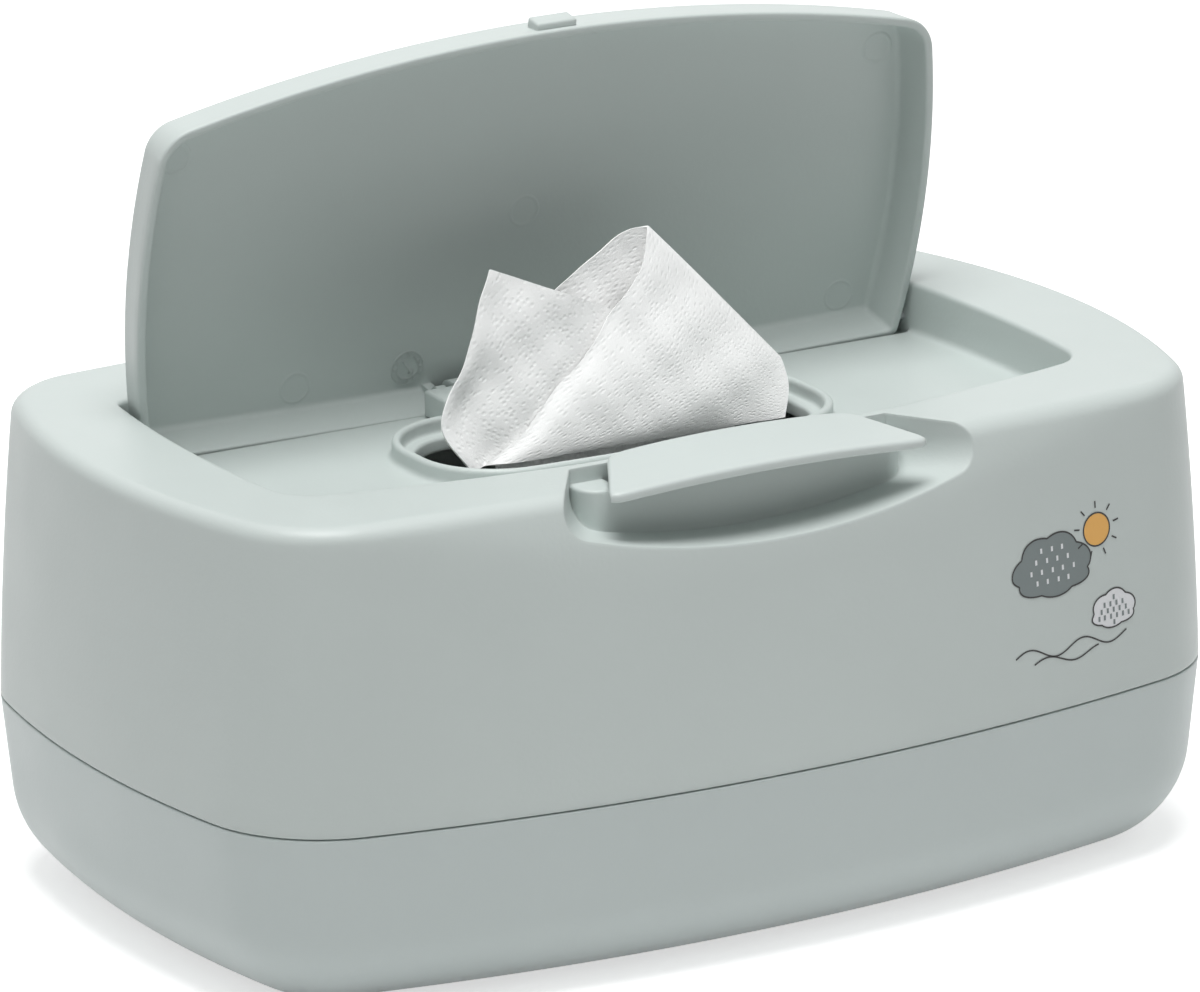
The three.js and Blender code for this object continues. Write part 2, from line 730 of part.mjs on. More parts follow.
const slotLow = deckHeight + collarHeight - ledgeDrop + gap;
const frontTopShares = [[-0.8, 0.02], [-0.41, 0.28], [-0.2, 0.46], [-0.05, 0.62], [0.2, 1], [0.97, 0.25]];
const rearTopShares = [[-1.05, 0.2], [-0.93, 0.51], [-0.76, 0.92], [-0.05, 0.63], [0.18, 0.51]];
const frontRipples = 2.2;
const rearRipples = 1.7;

function wipeSheet() {
  const frontY = feedY - feedThickness / 2;
  const rearY = feedY + feedThickness / 2;
  const neck = block(-feedHalfLength, feedHalfLength, frontY, rearY, slotLow, deckHeight + collarHeight);
  return neck
    .add(fold(frontTopShares, frontY, frontLean, frontRipple, frontRipples))
    .add(fold(rearTopShares, rearY, rearLean, rearRipple, rearRipples));
}

function wipeFeed() {
  const low = padStand + wall + gap + stackHeight + gap;
  return block(-feedHalfLength, feedHalfLength, feedY - feedThickness / 2, feedY + feedThickness / 2, low,
    slotLow - gap);
}

// Assembly

const box = new THREE.Group();

function place(name, solid, look, parent = box) {
  const mesh = new THREE.Mesh(toGeometry(solid), new THREE.MeshStandardMaterial(look));
  mesh.name = name;
  parent.add(mesh);
  return mesh;
}

place('base_tray', baseTray(), palePlastic);
place('top_cover', topCover(), plastic);
place('seam_seal', seamSeal(), rubber);
place('hinge_housing', hingeHousing(), plastic);
place('hinge_axle', rod(axleRadius, -hingeAxleHalf, hingeAxleHalf, pivotY, pivotZ), steel);
place('lid_spring', coil(springMean, springWire, springLength, springTurns, pivotY, pivotZ), steel);

const openLid = new THREE.Group();
openLid.position.set(0, pivotY, pivotZ);
openLid.rotation.x = -THREE.MathUtils.degToRad(lidOpenAngle);
const lidMesh = place('flip_lid', flipLid(), plastic, openLid);
lidMesh.position.set(0, -pivotY, -pivotZ);
box.add(openLid);

[['left', -1], ['right', 1]].forEach(([name, side]) => {
  const ends = [side * lidPinStart, side * (lidPinStart + lidPinLength)].sort((p, q) => p - q);
  place(`lid_pin_${name}`, rod(lidPinRadius, ...ends, pivotY, pivotZ), steel);
  place(`housing_screw_${name}`, housingScrew((side * screwSpacing) / 2), steel);
});

place('push_button', pushButton(), palePlastic);
const axleHalf = wellHalfWidth + buttonAxleSeat;
place('button_axle', rod(buttonAxleRadius, -axleHalf, axleHalf, buttonAxleY, buttonAxleZ), steel);
place('button_spring', coil(
  buttonAxleRadius + pinClearance + springWire / 2, springWire, buttonSpringLength, buttonSpringTurns, buttonAxleY,
  buttonAxleZ,
), steel);

padCentres.forEach((c, i) => {
  place(`foot_pad_${i + 1}`, post(padRadius, c.x, c.y, 0, padThickness, 24), rubber);
});

place('wipe_stack', wipeStack(), tissue);
place('wipe_feed', wipeFeed(), tissue);
place('wipe', wipeSheet(), tissue);

export default box;
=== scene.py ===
import math

import bmesh
import bpy
import numpy as np
from mathutils import Matrix, Vector


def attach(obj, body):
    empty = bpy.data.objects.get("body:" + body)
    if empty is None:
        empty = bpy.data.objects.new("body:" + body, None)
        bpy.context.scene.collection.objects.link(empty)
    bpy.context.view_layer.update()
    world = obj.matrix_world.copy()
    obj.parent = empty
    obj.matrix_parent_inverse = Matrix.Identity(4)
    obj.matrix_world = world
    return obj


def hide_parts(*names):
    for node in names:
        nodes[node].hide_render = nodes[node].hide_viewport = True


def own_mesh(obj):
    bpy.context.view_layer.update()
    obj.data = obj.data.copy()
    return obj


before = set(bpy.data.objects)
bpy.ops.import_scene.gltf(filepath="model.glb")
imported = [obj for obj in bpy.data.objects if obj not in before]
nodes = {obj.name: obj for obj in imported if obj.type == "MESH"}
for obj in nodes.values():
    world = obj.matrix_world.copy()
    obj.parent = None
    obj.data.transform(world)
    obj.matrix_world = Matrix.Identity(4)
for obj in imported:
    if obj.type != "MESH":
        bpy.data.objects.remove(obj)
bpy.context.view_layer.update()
mm = 0.001

# shading breaks where faces meet at more than these angles, in degrees
crease = {"hard": 32, "block": 40, "soft": 60, "thin": 80}
weldReach = 1e-6
bevelSteps = 3


# small tools

def mix(a, b, t):
    return a + (b - a) * t


def addObject(name, data):
    thing = bpy.data.objects.new(name, data)
    bpy.context.scene.collection.objects.link(thing)
    return thing


def meshPiece(name, points, faces, body=None, smoothAngle=crease["hard"], uv=None):
    # points in mm, faces as lists of point numbers
    mesh = bpy.data.meshes.new(name)
    mesh.from_pydata((np.asarray(points) * mm).tolist(), [], faces)
    mesh.validate()
    if uv is not None:
        layer = mesh.uv_layers.new(name="UVMap")
        corner = np.zeros(len(mesh.loops), np.int32)
        mesh.loops.foreach_get("vertex_index", corner)
        layer.data.foreach_set("uv", np.asarray(uv)[corner].ravel())
    piece = addObject(name, mesh)
    outward(piece)
    shade(piece, smoothAngle)
    if body:
        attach(piece, body)
    return piece


def outward(piece):
    work = bmesh.new()
    work.from_mesh(piece.data)
    bmesh.ops.remove_doubles(work, verts=work.verts, dist=weldReach)
    bmesh.ops.recalc_face_normals(work, faces=work.faces)
    work.to_mesh(piece.data)
    work.free()


def shade(piece, angle=crease["hard"]):
    mesh = piece.data
    mesh.polygons.foreach_set("use_smooth", np.ones(len(mesh.polygons), bool))
    mesh.set_sharp_from_angle(angle=math.radians(angle))
    mesh.update()


def gridFaces(rows, columns, wrapRows=False, wrapColumns=True, start=0):
    # quads of a grid of rows x columns points, closed round either way where asked
    r = np.arange(rows if wrapRows else rows - 1)[:, None]
    c = np.arange(columns if wrapColumns else columns - 1)[None, :]
    rNext, cNext = (r + 1) % rows, (c + 1) % columns
    quads = np.stack([r * columns + c, r * columns + cNext, rNext * columns + cNext, rNext * columns + c], -1)
    return (quads.reshape(-1, 4) + start).tolist()


def solidFromRows(name, rows, body=None, smoothAngle=crease["hard"]):
    # a closed body: rings stacked in order, the first and last closed by a flat face
    points = np.concatenate(rows)
    columns = len(rows[0])
    faces = gridFaces(len(rows), columns)
    faces.append(list(range(columns))[::-1])
    faces.append(list(range(len(points) - columns, len(points))))
    return meshPiece(name, points, faces, body, smoothAngle)


def applyModifiers(piece):
    graph = bpy.context.evaluated_depsgraph_get()
    mesh = bpy.data.meshes.new_from_object(piece.evaluated_get(graph))
    piece.modifiers.clear()
    piece.data = mesh
    return piece


def combine(operation, piece, *tools):
    for tool in tools:
        step = piece.modifiers.new("cut", "BOOLEAN")
        step.operation, step.solver, step.object = operation, "EXACT", tool
        applyModifiers(piece)
        bpy.data.objects.remove(tool)
    return piece


def cut(piece, *tools):
    return combine("DIFFERENCE", piece, *tools)


def join(piece, *tools):
    return combine("UNION", piece, *tools)


def thicken(piece, thickness):
    # gives a sheet its thickness, half to each side, and returns the area of one face in square metres
    soft = piece.modifiers.new("thickness", "SOLIDIFY")
    soft.thickness, soft.offset = thickness * mm, 0
    applyModifiers(piece)
    shade(piece, crease["soft"])
    return sum(p.area for p in piece.data.polygons) / 2


def softBlock(name, low, high, radius=0, body=None):
    # a block, with rounded edges where a radius is given
    x, y, z = [(low[k], high[k]) for k in range(3)]
    points = [(x[i], y[j], z[k]) for k in (0, 1) for j in (0, 1) for i in (0, 1)]
    faces = [(0, 2, 3, 1), (4, 5, 7, 6), (0, 1, 5, 4), (2, 6, 7, 3), (0, 4, 6, 2), (1, 3, 7, 5)]
    piece = meshPiece(name, points, faces, body)
    if radius:
        edge = piece.modifiers.new("edge", "BEVEL")
        edge.width, edge.segments, edge.limit_method = radius * mm, bevelSteps, "NONE"
        applyModifiers(piece)
        shade(piece, crease["block"])
    return piece


def bar(name, half, y, z, radius=0, body=None):
    # a block as far to the left as to the right
    return softBlock(name, (-half, y[0], z[0]), (half, y[1], z[1]), radius, body)


def fullTurn(count):
    return np.linspace(0, 2 * np.pi, count, endpoint=False)


def onCircle(centre, radius, angle):
    return np.stack([centre[0] + radius * np.cos(angle), centre[1] + radius * np.sin(angle)], -1)


def cylinder(name, radius, start, end, centre, axis, sides):
    # a round bar along the axis of that number, about a centre in the other two
    circle = onCircle(centre, radius, fullTurn(sides))
    return solidFromRows(name, [np.insert(circle, axis, at, axis=1) for at in (start, end)])


def cylinderX(name, radius, x0, x1, y, z):
    return cylinder(name, radius, x0, x1, (y, z), 0, 40)


def cylinderZ(name, radius, x, y, z0, z1):
    return cylinder(name, radius, z0, z1, (x, y), 2, 48)


def easing(radius, steps=6):
    # a quarter round in steps: one share falls from the radius to nothing while the other rises to it
    return [(radius * (1 - math.sin(a)), radius * (1 - math.cos(a))) for a in np.radians(np.linspace(0, 90, steps))]


# outlines of wide arcs joined by corner arcs

outlineCounts = {"front": 26, "corner": 14, "side": 18, "rear": 26}
smallestCorner = 1.1


def cornerBetween(centreA, radiusA, centreB, radiusB, radius):
    # centre of the arc of that radius that touches both wide arcs from inside
    reachA, reachB = radiusA - radius, radiusB - radius
    across = centreB - centreA
    apart = math.hypot(*across)
    along = (reachA ** 2 - reachB ** 2 + apart ** 2) / (2 * apart)
    off = math.sqrt(max(reachA ** 2 - along ** 2, 0))
    across = across / apart
    side = np.array([-across[1], across[0]])
    centre = max((centreA + across * along + side * s for s in (off, -off)), key=lambda p: p[0])
    fromA, fromB = centre - centreA, centre - centreB
    return centre, math.atan2(fromA[1], fromA[0]), math.atan2(fromB[1], fromB[0])


def arc(centre, radius, start, end, count):
    turn = math.atan2(math.sin(end - start), math.cos(end - start))
    return onCircle(centre, radius, start + turn * np.arange(count) / count)


def outline(o, inset=0.0):
    # points anticlockwise from the front's middle, symmetric about x = 0
    front, rear, half = o["front"] + inset, o["rear"] - inset, o["half"] - inset
    frontBow, rearBow, endBow = (o[k] - inset for k in ("frontBow", "rearBow", "endBow"))
    frontCorner, rearCorner = (max(o[k] - inset, smallestCorner) for k in ("frontCorner", "rearCorner"))
    frontCentre, rearCentre = np.array([0, front + frontBow]), np.array([0, rear - rearBow])
    endCentre = np.array([half - endBow, o["widestAt"]])
    cornerA, endToA, frontToA = cornerBetween(endCentre, endBow, frontCentre, frontBow, frontCorner)
    cornerB, endToB, rearToB = cornerBetween(endCentre, endBow, rearCentre, rearBow, rearCorner)
    n = outlineCounts
    right = np.concatenate([
        arc(frontCentre, frontBow, -np.pi / 2, frontToA, n["front"]),
        arc(cornerA, frontCorner, frontToA, endToA, n["corner"]),
        arc(endCentre, endBow, endToA, endToB, n["side"]),
        arc(cornerB, rearCorner, endToB, rearToB, n["corner"]),
        arc(rearCentre, rearBow, rearToB, np.pi / 2, n["rear"]),
        [[0, rear]],
    ])
    left = right[1:-1][::-1] * [-1, 1]
    return np.concatenate([right, left])


def atHeight(points, z):
    return np.column_stack([points, np.full(len(points), float(z))])


def ring(line, inset, z):
    return atHeight(outline(line, inset), z)


def roundIn(line, inset, z, radius, side, steps=6):
    # a quarter round that ends level at z, further in by its radius; side is 1 if it comes from above, else -1
    return [ring(line, inset + rise, z + side * fall) for fall, rise in easing(radius, steps)]


def roundOff(line, inset, z, radius, side, steps=6):
    # a quarter round that starts level at z, further out by its radius; side is 1 if it goes up, else -1
    return [ring(line, inset - fall, z + side * rise) for fall, rise in easing(radius, steps)]


def between(a, b, shares, z):
    # flat rings from one outline towards another
    return [atHeight(mix(a, b, t), z) for t in shares]


box = {
    "length": 250, "depth": 164.2, "seam": 42, "rim": 107.4, "wall": 2.2, "gap": 0.3,
    "sideBow": 442, "endBow": 266, "seamCorner": 30, "endLean": 1.6, "sideLean": 8.1,
    "rimSideBow": 750, "rimEndBow": 161, "rimCorner": 25, "rimRound": 3.2, "facetCut": 3.1,
    "facetSlope": 0.33, "facetBow": 1410, "facetSoft": 0.7, "facetReach": 12, "edge": 0.4, "straight": 4000,
}


def evenLine(half, front, sideBow, endBow, corner):
    # an outline that is the same in front and behind
    return {"half": half, "front": front, "rear": -front, "widestAt": 0, "frontBow": sideBow, "rearBow": sideBow,
            "endBow": endBow, "frontCorner": corner, "rearCorner": corner}


seamLine = evenLine(box["length"] / 2, -box["depth"] / 2, box["sideBow"], box["endBow"], box["seamCorner"])
rimFront = box["sideLean"] - box["depth"] / 2
rimLine = evenLine(box["length"] / 2 - box["endLean"], rimFront, box["rimSideBow"], box["rimEndBow"],
                   box["rimCorner"])
lidShape = {
    "half": 98.4, "front": rimFront + 22.1, "rear": 37.3, "widestAt": -4, "frontBow": 389,
    "rearBow": box["straight"], "endBow": 190, "frontCorner": 9.5, "rearCorner": 3,
}
deck = box["rim"] - 11.4
hinge = {"y": 32.4, "z": deck + 3.2, "trough": 2.8}
recessLine = {**lidShape, "half": 99.1, "front": lidShape["front"] - 0.7, "rear": 41.8, "endBow": 300,
              "frontCorner": 10.2}
collarLine = {
    "half": 50, "front": -29.5, "rear": 16.5, "widestAt": -6.5, "frontBow": box["sideBow"],
    "rearBow": box["straight"], "endBow": box["endBow"], "frontCorner": 19, "rearCorner": 19,
}


def facetDepth(x, z, inset=0.0):
    rise = box["facetSlope"] * (box["rim"] - z)
    return -rimFront - box["facetCut"] - inset + rise - x ** 2 / (2 * box["facetBow"])


def sideAt(points, z, inset):
    # pulls points in to the facet's plane, with a soft crease: the smaller of two depths, blended
    limit = facetDepth(points[:, 0], z, inset)
    y = np.abs(points[:, 1])
    past, soft = y - limit, box["facetSoft"]
    pulled = 0.5 * (y + limit - np.sqrt(past ** 2 + soft ** 2)) + 0.5 * soft ** 2 / np.hypot(past, 4 * soft)
    y = np.where(y > limit - box["facetReach"], np.minimum(pulled, y), y)
    return np.column_stack([points[:, 0], np.sign(points[:, 1]) * y])


def sideRing(z, inset=0.0):
    t = (z - box["seam"]) / (box["rim"] - box["seam"])
    line = {k: mix(seamLine[k], rimLine[k], t) for k in seamLine}
    return atHeight(sideAt(outline(line, inset), z, inset), z)


# top cover

cover = {
    "lipRound": 1.0, "floorRound": 1.4, "collarHeight": 4.2, "collarWall": 2.0, "collarRound": 0.95,
    "ledgeDrop": 3.4, "ledgeWidth": 3.0, "ledgeRound": 0.7, "sideRows": 44, "insideRows": 12,
    "rimShares": (0.05, 0.4, 0.95), "deckShares": (0.03, 0.25, 0.5, 0.75, 0.97), "underShares": (0.1, 0.5, 1),
    "cutAbove": 6, "lap": 1, "skin": 0.5, "troughTop": 1.6, "play": 0.3,
}


def coverOuterRows(inset, low):
    rim, r = box["rim"], box["rimRound"]
    rows = [sideRing(z, inset) for z in np.linspace(low, rim - r, cover["sideRows"])]
    return rows + [sideRing(rim - fall, inset + rise) for fall, rise in easing(r, 9)[1:]]


def coverShellRows():
    # up the outside, over the rim, down into the recess, over the collar and back along the inside
    wall, edge, rim, c = box["wall"], box["edge"], box["rim"], cover
    low = box["seam"] + box["gap"] / 2
    rows = [sideRing(low + rise, fall) for fall, rise in easing(edge, 4)[:-1]]
    rows += coverOuterRows(0.0, low + edge)
    lip, r = c["lipRound"], c["floorRound"]
    rows += between(rows[-1][:, :2], outline(recessLine, -lip), c["rimShares"], rim)
    rows += roundOff(recessLine, 0, rim, lip, -1)
    rows.append(ring(recessLine, 0, mix(rim - lip, deck, 0.5)))
    rows += roundIn(recessLine, 0, deck, r, 1)
    rows += between(outline(recessLine, r), outline(collarLine, -r), c["deckShares"], deck)
    rows += roundOff(collarLine, 0, deck, r, 1)
    top, thick, r = deck + c["collarHeight"], c["collarWall"], c["collarRound"]
    rows += roundIn(collarLine, 0, top, r, -1) + roundOff(collarLine, thick, top, r, -1)
    ledge, inner, r = top - c["ledgeDrop"], thick + c["ledgeWidth"], c["ledgeRound"]
    rows += roundIn(collarLine, thick, ledge, r, 1, 4) + roundOff(collarLine, inner, ledge, r, -1, 4)
    under, high = deck - wall, rim - wall
    rows.append(ring(collarLine, inner, under))
    recessOuter = outline(recessLine, -wall)
    rows += between(outline(collarLine, inner), recessOuter, c["underShares"], under)
    rows += [atHeight(recessOuter, z) for z in (mix(under, high, 0.5), high)]
    rows += between(recessOuter, sideRing(high, wall + box["rimRound"])[:, :2], [0.5], high)
    rows += [sideRing(high - fall, wall + rise) for fall, rise in easing(box["rimRound"], 5)[::-1]]
    rows += [sideRing(z, wall) for z in np.linspace(high - box["rimRound"], low, c["insideRows"])[1:]]
    return rows


scoop = {
    "hornHalf": 36.6, "hornY": rimFront + 23.1, "flare": 0.658, "floor": box["rim"] - 15.6, "bow": 175,
    "corner": 8, "sideSteps": 16, "floorSteps": 30, "sections": 12, "above": 10, "before": 6,
    "wallTop": box["rim"] - 3.2, "wellWall": 1.6, "wallRound": 0.6, "wellHalf": 37.5, "mouthHalf": 31,
    "wellCorner": 3.4, "cornerSteps": 12, "wellFront": rimFront + 13.6, "wellRear": lidShape["front"] - 2.2,
    "wellFloor": deck - 9.4, "notchHalf": 5.6, "notchLow": deck + 1.4,
}


def scoopHalf(y):
    return scoop["hornHalf"] + scoop["flare"] * (scoop["hornY"] - y)


def scoopRing(y, grow):
    # an upright section: a bowed floor that runs into both sides through corner arcs, open at the top
    s = scoop
    corner, bow = s["corner"] + grow, s["bow"] + grow
    half, centre = scoopHalf(y) + grow, s["floor"] + s["bow"]
    cornerX = half - corner
    cornerZ = centre - math.sqrt((bow - corner) ** 2 - cornerX ** 2)
    meeting = math.atan2(cornerX, centre - cornerZ)
    turn = np.linspace(0, math.pi / 2 - meeting, s["sideSteps"], endpoint=False)
    along = np.linspace(meeting, 0, s["floorSteps"], endpoint=False)
    x = np.concatenate([[half], cornerX + corner * np.cos(turn), bow * np.sin(along)])
    z = np.concatenate([[box["rim"] + s["above"]], cornerZ - corner * np.sin(turn), centre - bow * np.cos(along)])
    x, z = np.r_[x, 0, -x[::-1]], np.r_[z, centre - bow, z[::-1]]
    return np.column_stack([x, np.full(len(x), y), z])


def scoopTool(grow):
    # sections from outside the front face to the bridge behind the well
    places = np.linspace(-box["depth"] / 2 - scoop["before"], scoop["wellRear"] + grow, scoop["sections"])
    return solidFromRows("scoop_tool", [scoopRing(y, grow) for y in places])


def wellTool(grow, rear, z0, z1, soft=0.0, wide="wellHalf"):
    # as wide as the well or its mouth, with round front corners; soft draws the top in along a quarter turn
    s = scoop
    rows = []
    levels = [(z0, 0.0), (z1 - soft, 0.0)] + [(z1 - fall, rise) for fall, rise in easing(soft, 5)[1:] if soft]
    turn = np.radians(np.linspace(0, 90, s["cornerSteps"]))
    for z, inset in levels:
        half, front, corner = s[wide] + grow - inset, s["wellFront"] - grow + inset, s["wellCorner"] + grow - inset
        x = np.r_[half, half - corner + corner * np.cos(turn)]
        y = np.r_[rear, front + corner - corner * np.sin(turn)]
        rows.append(atHeight(np.column_stack([np.r_[x, -x[::-1]], np.r_[y, y[::-1]]]), z))
    return solidFromRows("well_tool", rows)


def prismTool(points, z0, z1):
    return solidFromRows("prism_tool", [atHeight(points, z) for z in (z0, z1)])


def troughTool(extra, z0, z1):
    edge = hinge["y"] - hinge["trough"] - extra / 2
    points = outline(recessLine, -extra)
    points = points[points[:, 1] > edge]
    return prismTool(np.concatenate([[[points[0, 0], edge]], points, [[points[-1, 0], edge]]]), z0, z1)


def makeCover():
    rows = coverShellRows()
    faces = gridFaces(len(rows), len(rows[0]), wrapRows=True)
    piece = meshPiece("cover_shell", np.concatenate(rows), faces, "cover")
    wall, c, s = box["wall"], cover, scoop
    high, low, rear = box["rim"] + c["cutAbove"], s["wellFloor"], s["wellRear"]
    well = wellTool(wall, rear + wall, low - wall, box["rim"] - c["lap"])
    inside = solidFromRows("cover_inside", coverOuterRows(c["skin"], box["seam"] + c["lap"]))
    tub = join(scoopTool(wall), well)
    combine("INTERSECT", tub, inside)
    cut(tub, prismTool(outline(recessLine), deck, high))
    troughLow = deck - hinge["trough"]
    join(piece, tub, troughTool(wall, troughLow - wall, deck - c["skin"]))
    # the trough and the notch go before the well and the scoop: the other order leaves a stray block
    cut(piece,
        troughTool(0, troughLow, deck + c["troughTop"]),
        bar("notch_tool", s["notchHalf"], (rear - c["play"], lidShape["front"]), (s["notchLow"], high + c["lap"])),
        wellTool(0, rear, low, s["wallTop"] - wall),
        wellTool(0, rear, low + c["lap"], high, wide="mouthHalf"),
        cut(scoopTool(0), wellTool(s["wellWall"], rear + wall, low - wall, s["wallTop"], s["wallRound"])))
    shade(piece)
    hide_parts("top_cover")
    print("cover made:", len(piece.data.polygons), "faces")
    return piece


# base tray

tray = {
    "bottomRound": 21, "draft": 0.1, "spigotHeight": 6, "spigotWall": 2.4, "taper": 5, "stand": 0.6,
    "sealThickness": 1.4, "sealHeight": 1.6, "padRadius": 8, "padThickness": 1.6, "padX": 85, "padY": 38,
    "padCut": 2, "outerRows": 22, "sideRows": 8, "innerRows": 16, "crowding": 1.6,
    "bottomShares": (0.9, 0.5, 0.05), "floorShares": (0.5, 0.95),
}


def trayInset(z):
    bend = tray["bottomRound"]
    return tray["draft"] * (box["seam"] - z) + bend - math.sqrt(bend ** 2 - max(bend - z, 0) ** 2)


def makeTray():
    # up the outside, over the spigot with its seal groove, and down the inside
    c, gap, wall, edge = tray, box["gap"], box["wall"], box["edge"]
    joint, bend, power = box["seam"] - gap / 2, c["bottomRound"], c["crowding"]
    outer = wall + gap
    inner = outer + c["spigotWall"]
    first = outline(seamLine, trayInset(c["stand"]))
    centre = np.zeros_like(first)
    rows = between(first, centre, c["bottomShares"], c["stand"])
    heights = np.r_[c["stand"] + np.linspace(0, 1, c["outerRows"]) ** power * (bend - c["stand"]),
                    np.linspace(bend, joint - edge, c["sideRows"])[1:]]
    rows += [ring(seamLine, trayInset(z), z) for z in heights]
    rows += roundIn(seamLine, 0, joint, edge, -1, 4)[1:]
    top = box["seam"] + c["spigotHeight"]
    grooveLow = box["seam"] + c["spigotHeight"] / 2 - c["sealHeight"] / 2 - gap
    grooveHigh = grooveLow + c["sealHeight"] + 2 * gap
    grooveIn = outer + c["sealThickness"] + gap
    rows += [sideRing(z, inset) for z, inset in (
        (joint, outer), (grooveLow, outer), (grooveLow, grooveIn), (grooveHigh, grooveIn), (grooveHigh, outer),
        (top - edge, outer), (top, outer + edge), (top, inner - edge), (top - edge, inner))]
    taperTop = joint - c["taper"]
    taperLow, floor = taperTop - c["taper"], c["stand"] + wall
    rows += [ring(seamLine, inner, taperTop), ring(seamLine, trayInset(taperLow) + wall, taperLow)]
    rows += [ring(seamLine, trayInset(max(z - wall / 2, c["stand"])) + wall, z)
             for z in floor + (1 - np.linspace(0, 1, c["innerRows"])) ** power * (bend - floor)]
    rows += between(rows[-1][:, :2], centre, c["floorShares"], floor)
    piece = solidFromRows("tray_shell", rows, "tray")
    cut(piece, *(cylinderZ("pad_tool", c["padRadius"] + gap, i * c["padX"], j * c["padY"], -c["padCut"],
                           c["padThickness"] + gap) for i in (-1, 1) for j in (-1, 1)))
    shade(piece)
    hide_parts("base_tray")
    print("tray made:", len(piece.data.polygons), "faces")
    return piece


# flip lid, worked out closed and turned open about its pins

lid = {
    "lip": deck + 0.5, "top": box["rim"], "wall": 2.0, "taper": 1.5, "round": 2.4, "innerRound": 1.5,
    "lipEdge": 0.5, "openAngle": 79.8, "middleY": -6.0, "middleShare": 0.02, "notch": 20.0, "notchReach": 5,
    "notchRear": 43, "knuckle": 2.4, "knuckleRadius": 2.0, "web": 2, "rodBore": 1.2, "pinBore": 1.4,
    "pinFrom": 93.15, "pinTo": 104, "catchHalf": 4.9, "catchOut": 1.3, "catchIn": 1.2, "catchRise": 1.6,
    "catchHeight": 4.4, "catchEdge": 0.5,
}


def turnOpen(piece):
    a, mesh = -math.radians(lid["openAngle"]), piece.data
    points = np.zeros(len(mesh.vertices) * 3)
    mesh.vertices.foreach_get("co", points)
    x, y, z = (points.reshape(-1, 3) / mm).T
    y, z = y - hinge["y"], z - hinge["z"]
    points = np.column_stack([x, hinge["y"] + y * math.cos(a) - z * math.sin(a),
                              hinge["z"] + y * math.sin(a) + z * math.cos(a)])
    mesh.vertices.foreach_set("co", (points * mm).ravel())
    mesh.update()
    return piece


def makeLid():
    # from the middle of the top out, down the skirt, up inside it and back to the middle
    c, y, z = lid, hinge["y"], hinge["z"]
    e, r, wall, taper, low = c["lipEdge"], c["innerRound"], c["wall"], c["taper"], c["lip"]
    outerTop = outline(lidShape, taper + c["round"])
    centre = np.column_stack([outerTop[:, 0] * c["middleShare"], np.full(len(outerTop), c["middleY"])])
    rows = between(centre, outerTop, (0, 0.5, 0.95), c["top"])
    rows += roundIn(lidShape, taper, c["top"], c["round"], -1, 8)[::-1]
    rows += [ring(lidShape, taper * t, mix(low + e, c["top"] - c["round"], t)) for t in (0.66, 0.33)]
    rows += roundIn(lidShape, 0, low, e, 1, 4) + roundOff(lidShape, wall, low, e, 1, 4)
    plate = c["top"] - wall
    rows.append(ring(lidShape, mix(wall, wall + taper, 0.5), mix(low + e, plate - r, 0.5)))
    rows += roundIn(lidShape, wall + taper, plate, r, -1, 8)
    rows += between(rows[-1][:, :2], centre, (0.05, 0.5, 1), plate)
    piece = solidFromRows("lid_shell", rows, "lid")
    reach = c["notchReach"]
    cut(piece, bar("notch_tool", c["notch"], (y - reach, c["notchRear"]), (low - reach, plate)))
    for side in (-1, 1):
        ends = sorted((side * c["notch"], side * (c["notch"] + c["knuckle"])))
        knuckle = cylinderX("knuckle", c["knuckleRadius"], *ends, y, z)
        web = softBlock("web", (ends[0], y, z), (ends[1], y + c["web"], plate + 1))
        join(piece, join(knuckle, web))
        cut(piece, cylinderX("hole", c["rodBore"], ends[0] - reach, ends[1] + reach, y, z),
            cylinderX("hole", c["pinBore"], *sorted((side * c["pinFrom"], side * c["pinTo"])), y, z))
    front, catchLow = lidShape["front"], low + c["catchRise"]
    join(piece, bar("catch", c["catchHalf"], (front - c["catchOut"], front + c["catchIn"]),
                    (catchLow, catchLow + c["catchHeight"]), c["catchEdge"]))
    shade(piece)
    turnOpen(piece)
    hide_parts("flip_lid")
    print("lid made:", len(piece.data.polygons), "faces")
    return piece


# marks left by the mould inside the lid: shallow round rings, and a date dial with ticks and an arrow

moulding = {
    "plate": box["rim"] - lid["wall"], "lift": 0.01, "ringRadius": 4.0, "ringLine": 3.4, "ringWidth": 0.28,
    "ringRise": 0.16, "rings": [(0, -5.6), (83.5, 28.0), (-54, 28.0), (-87.2, -31.4), (87.2, -31.4)],
    "steps": 44, "turns": 180, "heart": 0.02, "sink": 0.04, "sinkFrom": 0.97,
}
dial = {
    "at": (-26.3, 27.8), "radius": 4.3, "rise": 0.3, "circles": (0.62, 0.9), "circleWidth": 0.12, "ticks": 12,
    "tickWidth": 0.16, "tickFrom": 0.68, "tickTo": 0.84, "arrowTurn": 0.9, "shaftWidth": 0.17,
    "shaftFrom": -0.45, "shaftTo": 0.5, "headFrom": 0.28, "headTo": 0.52, "headSlope": 0.7,
}


def reliefDisc(name, centre, radius, reliefOf, rise):
    # a fine polar grid just below the lid's plate, raised where the relief function is 1
    m = moulding
    r = np.linspace(m["heart"], 1, m["steps"])[:, None] * radius
    a = fullTurn(m["turns"])[None, :]
    depth = rise * np.clip(reliefOf(r, a), 0, 1) - m["sink"] * (r / radius > m["sinkFrom"])
    x, y = centre[0] + r * np.cos(a), centre[1] + r * np.sin(a)
    points = np.stack([x, y, m["plate"] - m["lift"] - depth], -1).reshape(-1, 3)
    faces = gridFaces(m["steps"], m["turns"])
    faces.append(list(range(m["turns"]))[::-1])
    return turnOpen(meshPiece(name, points, faces, "lid", smoothAngle=crease["soft"]))


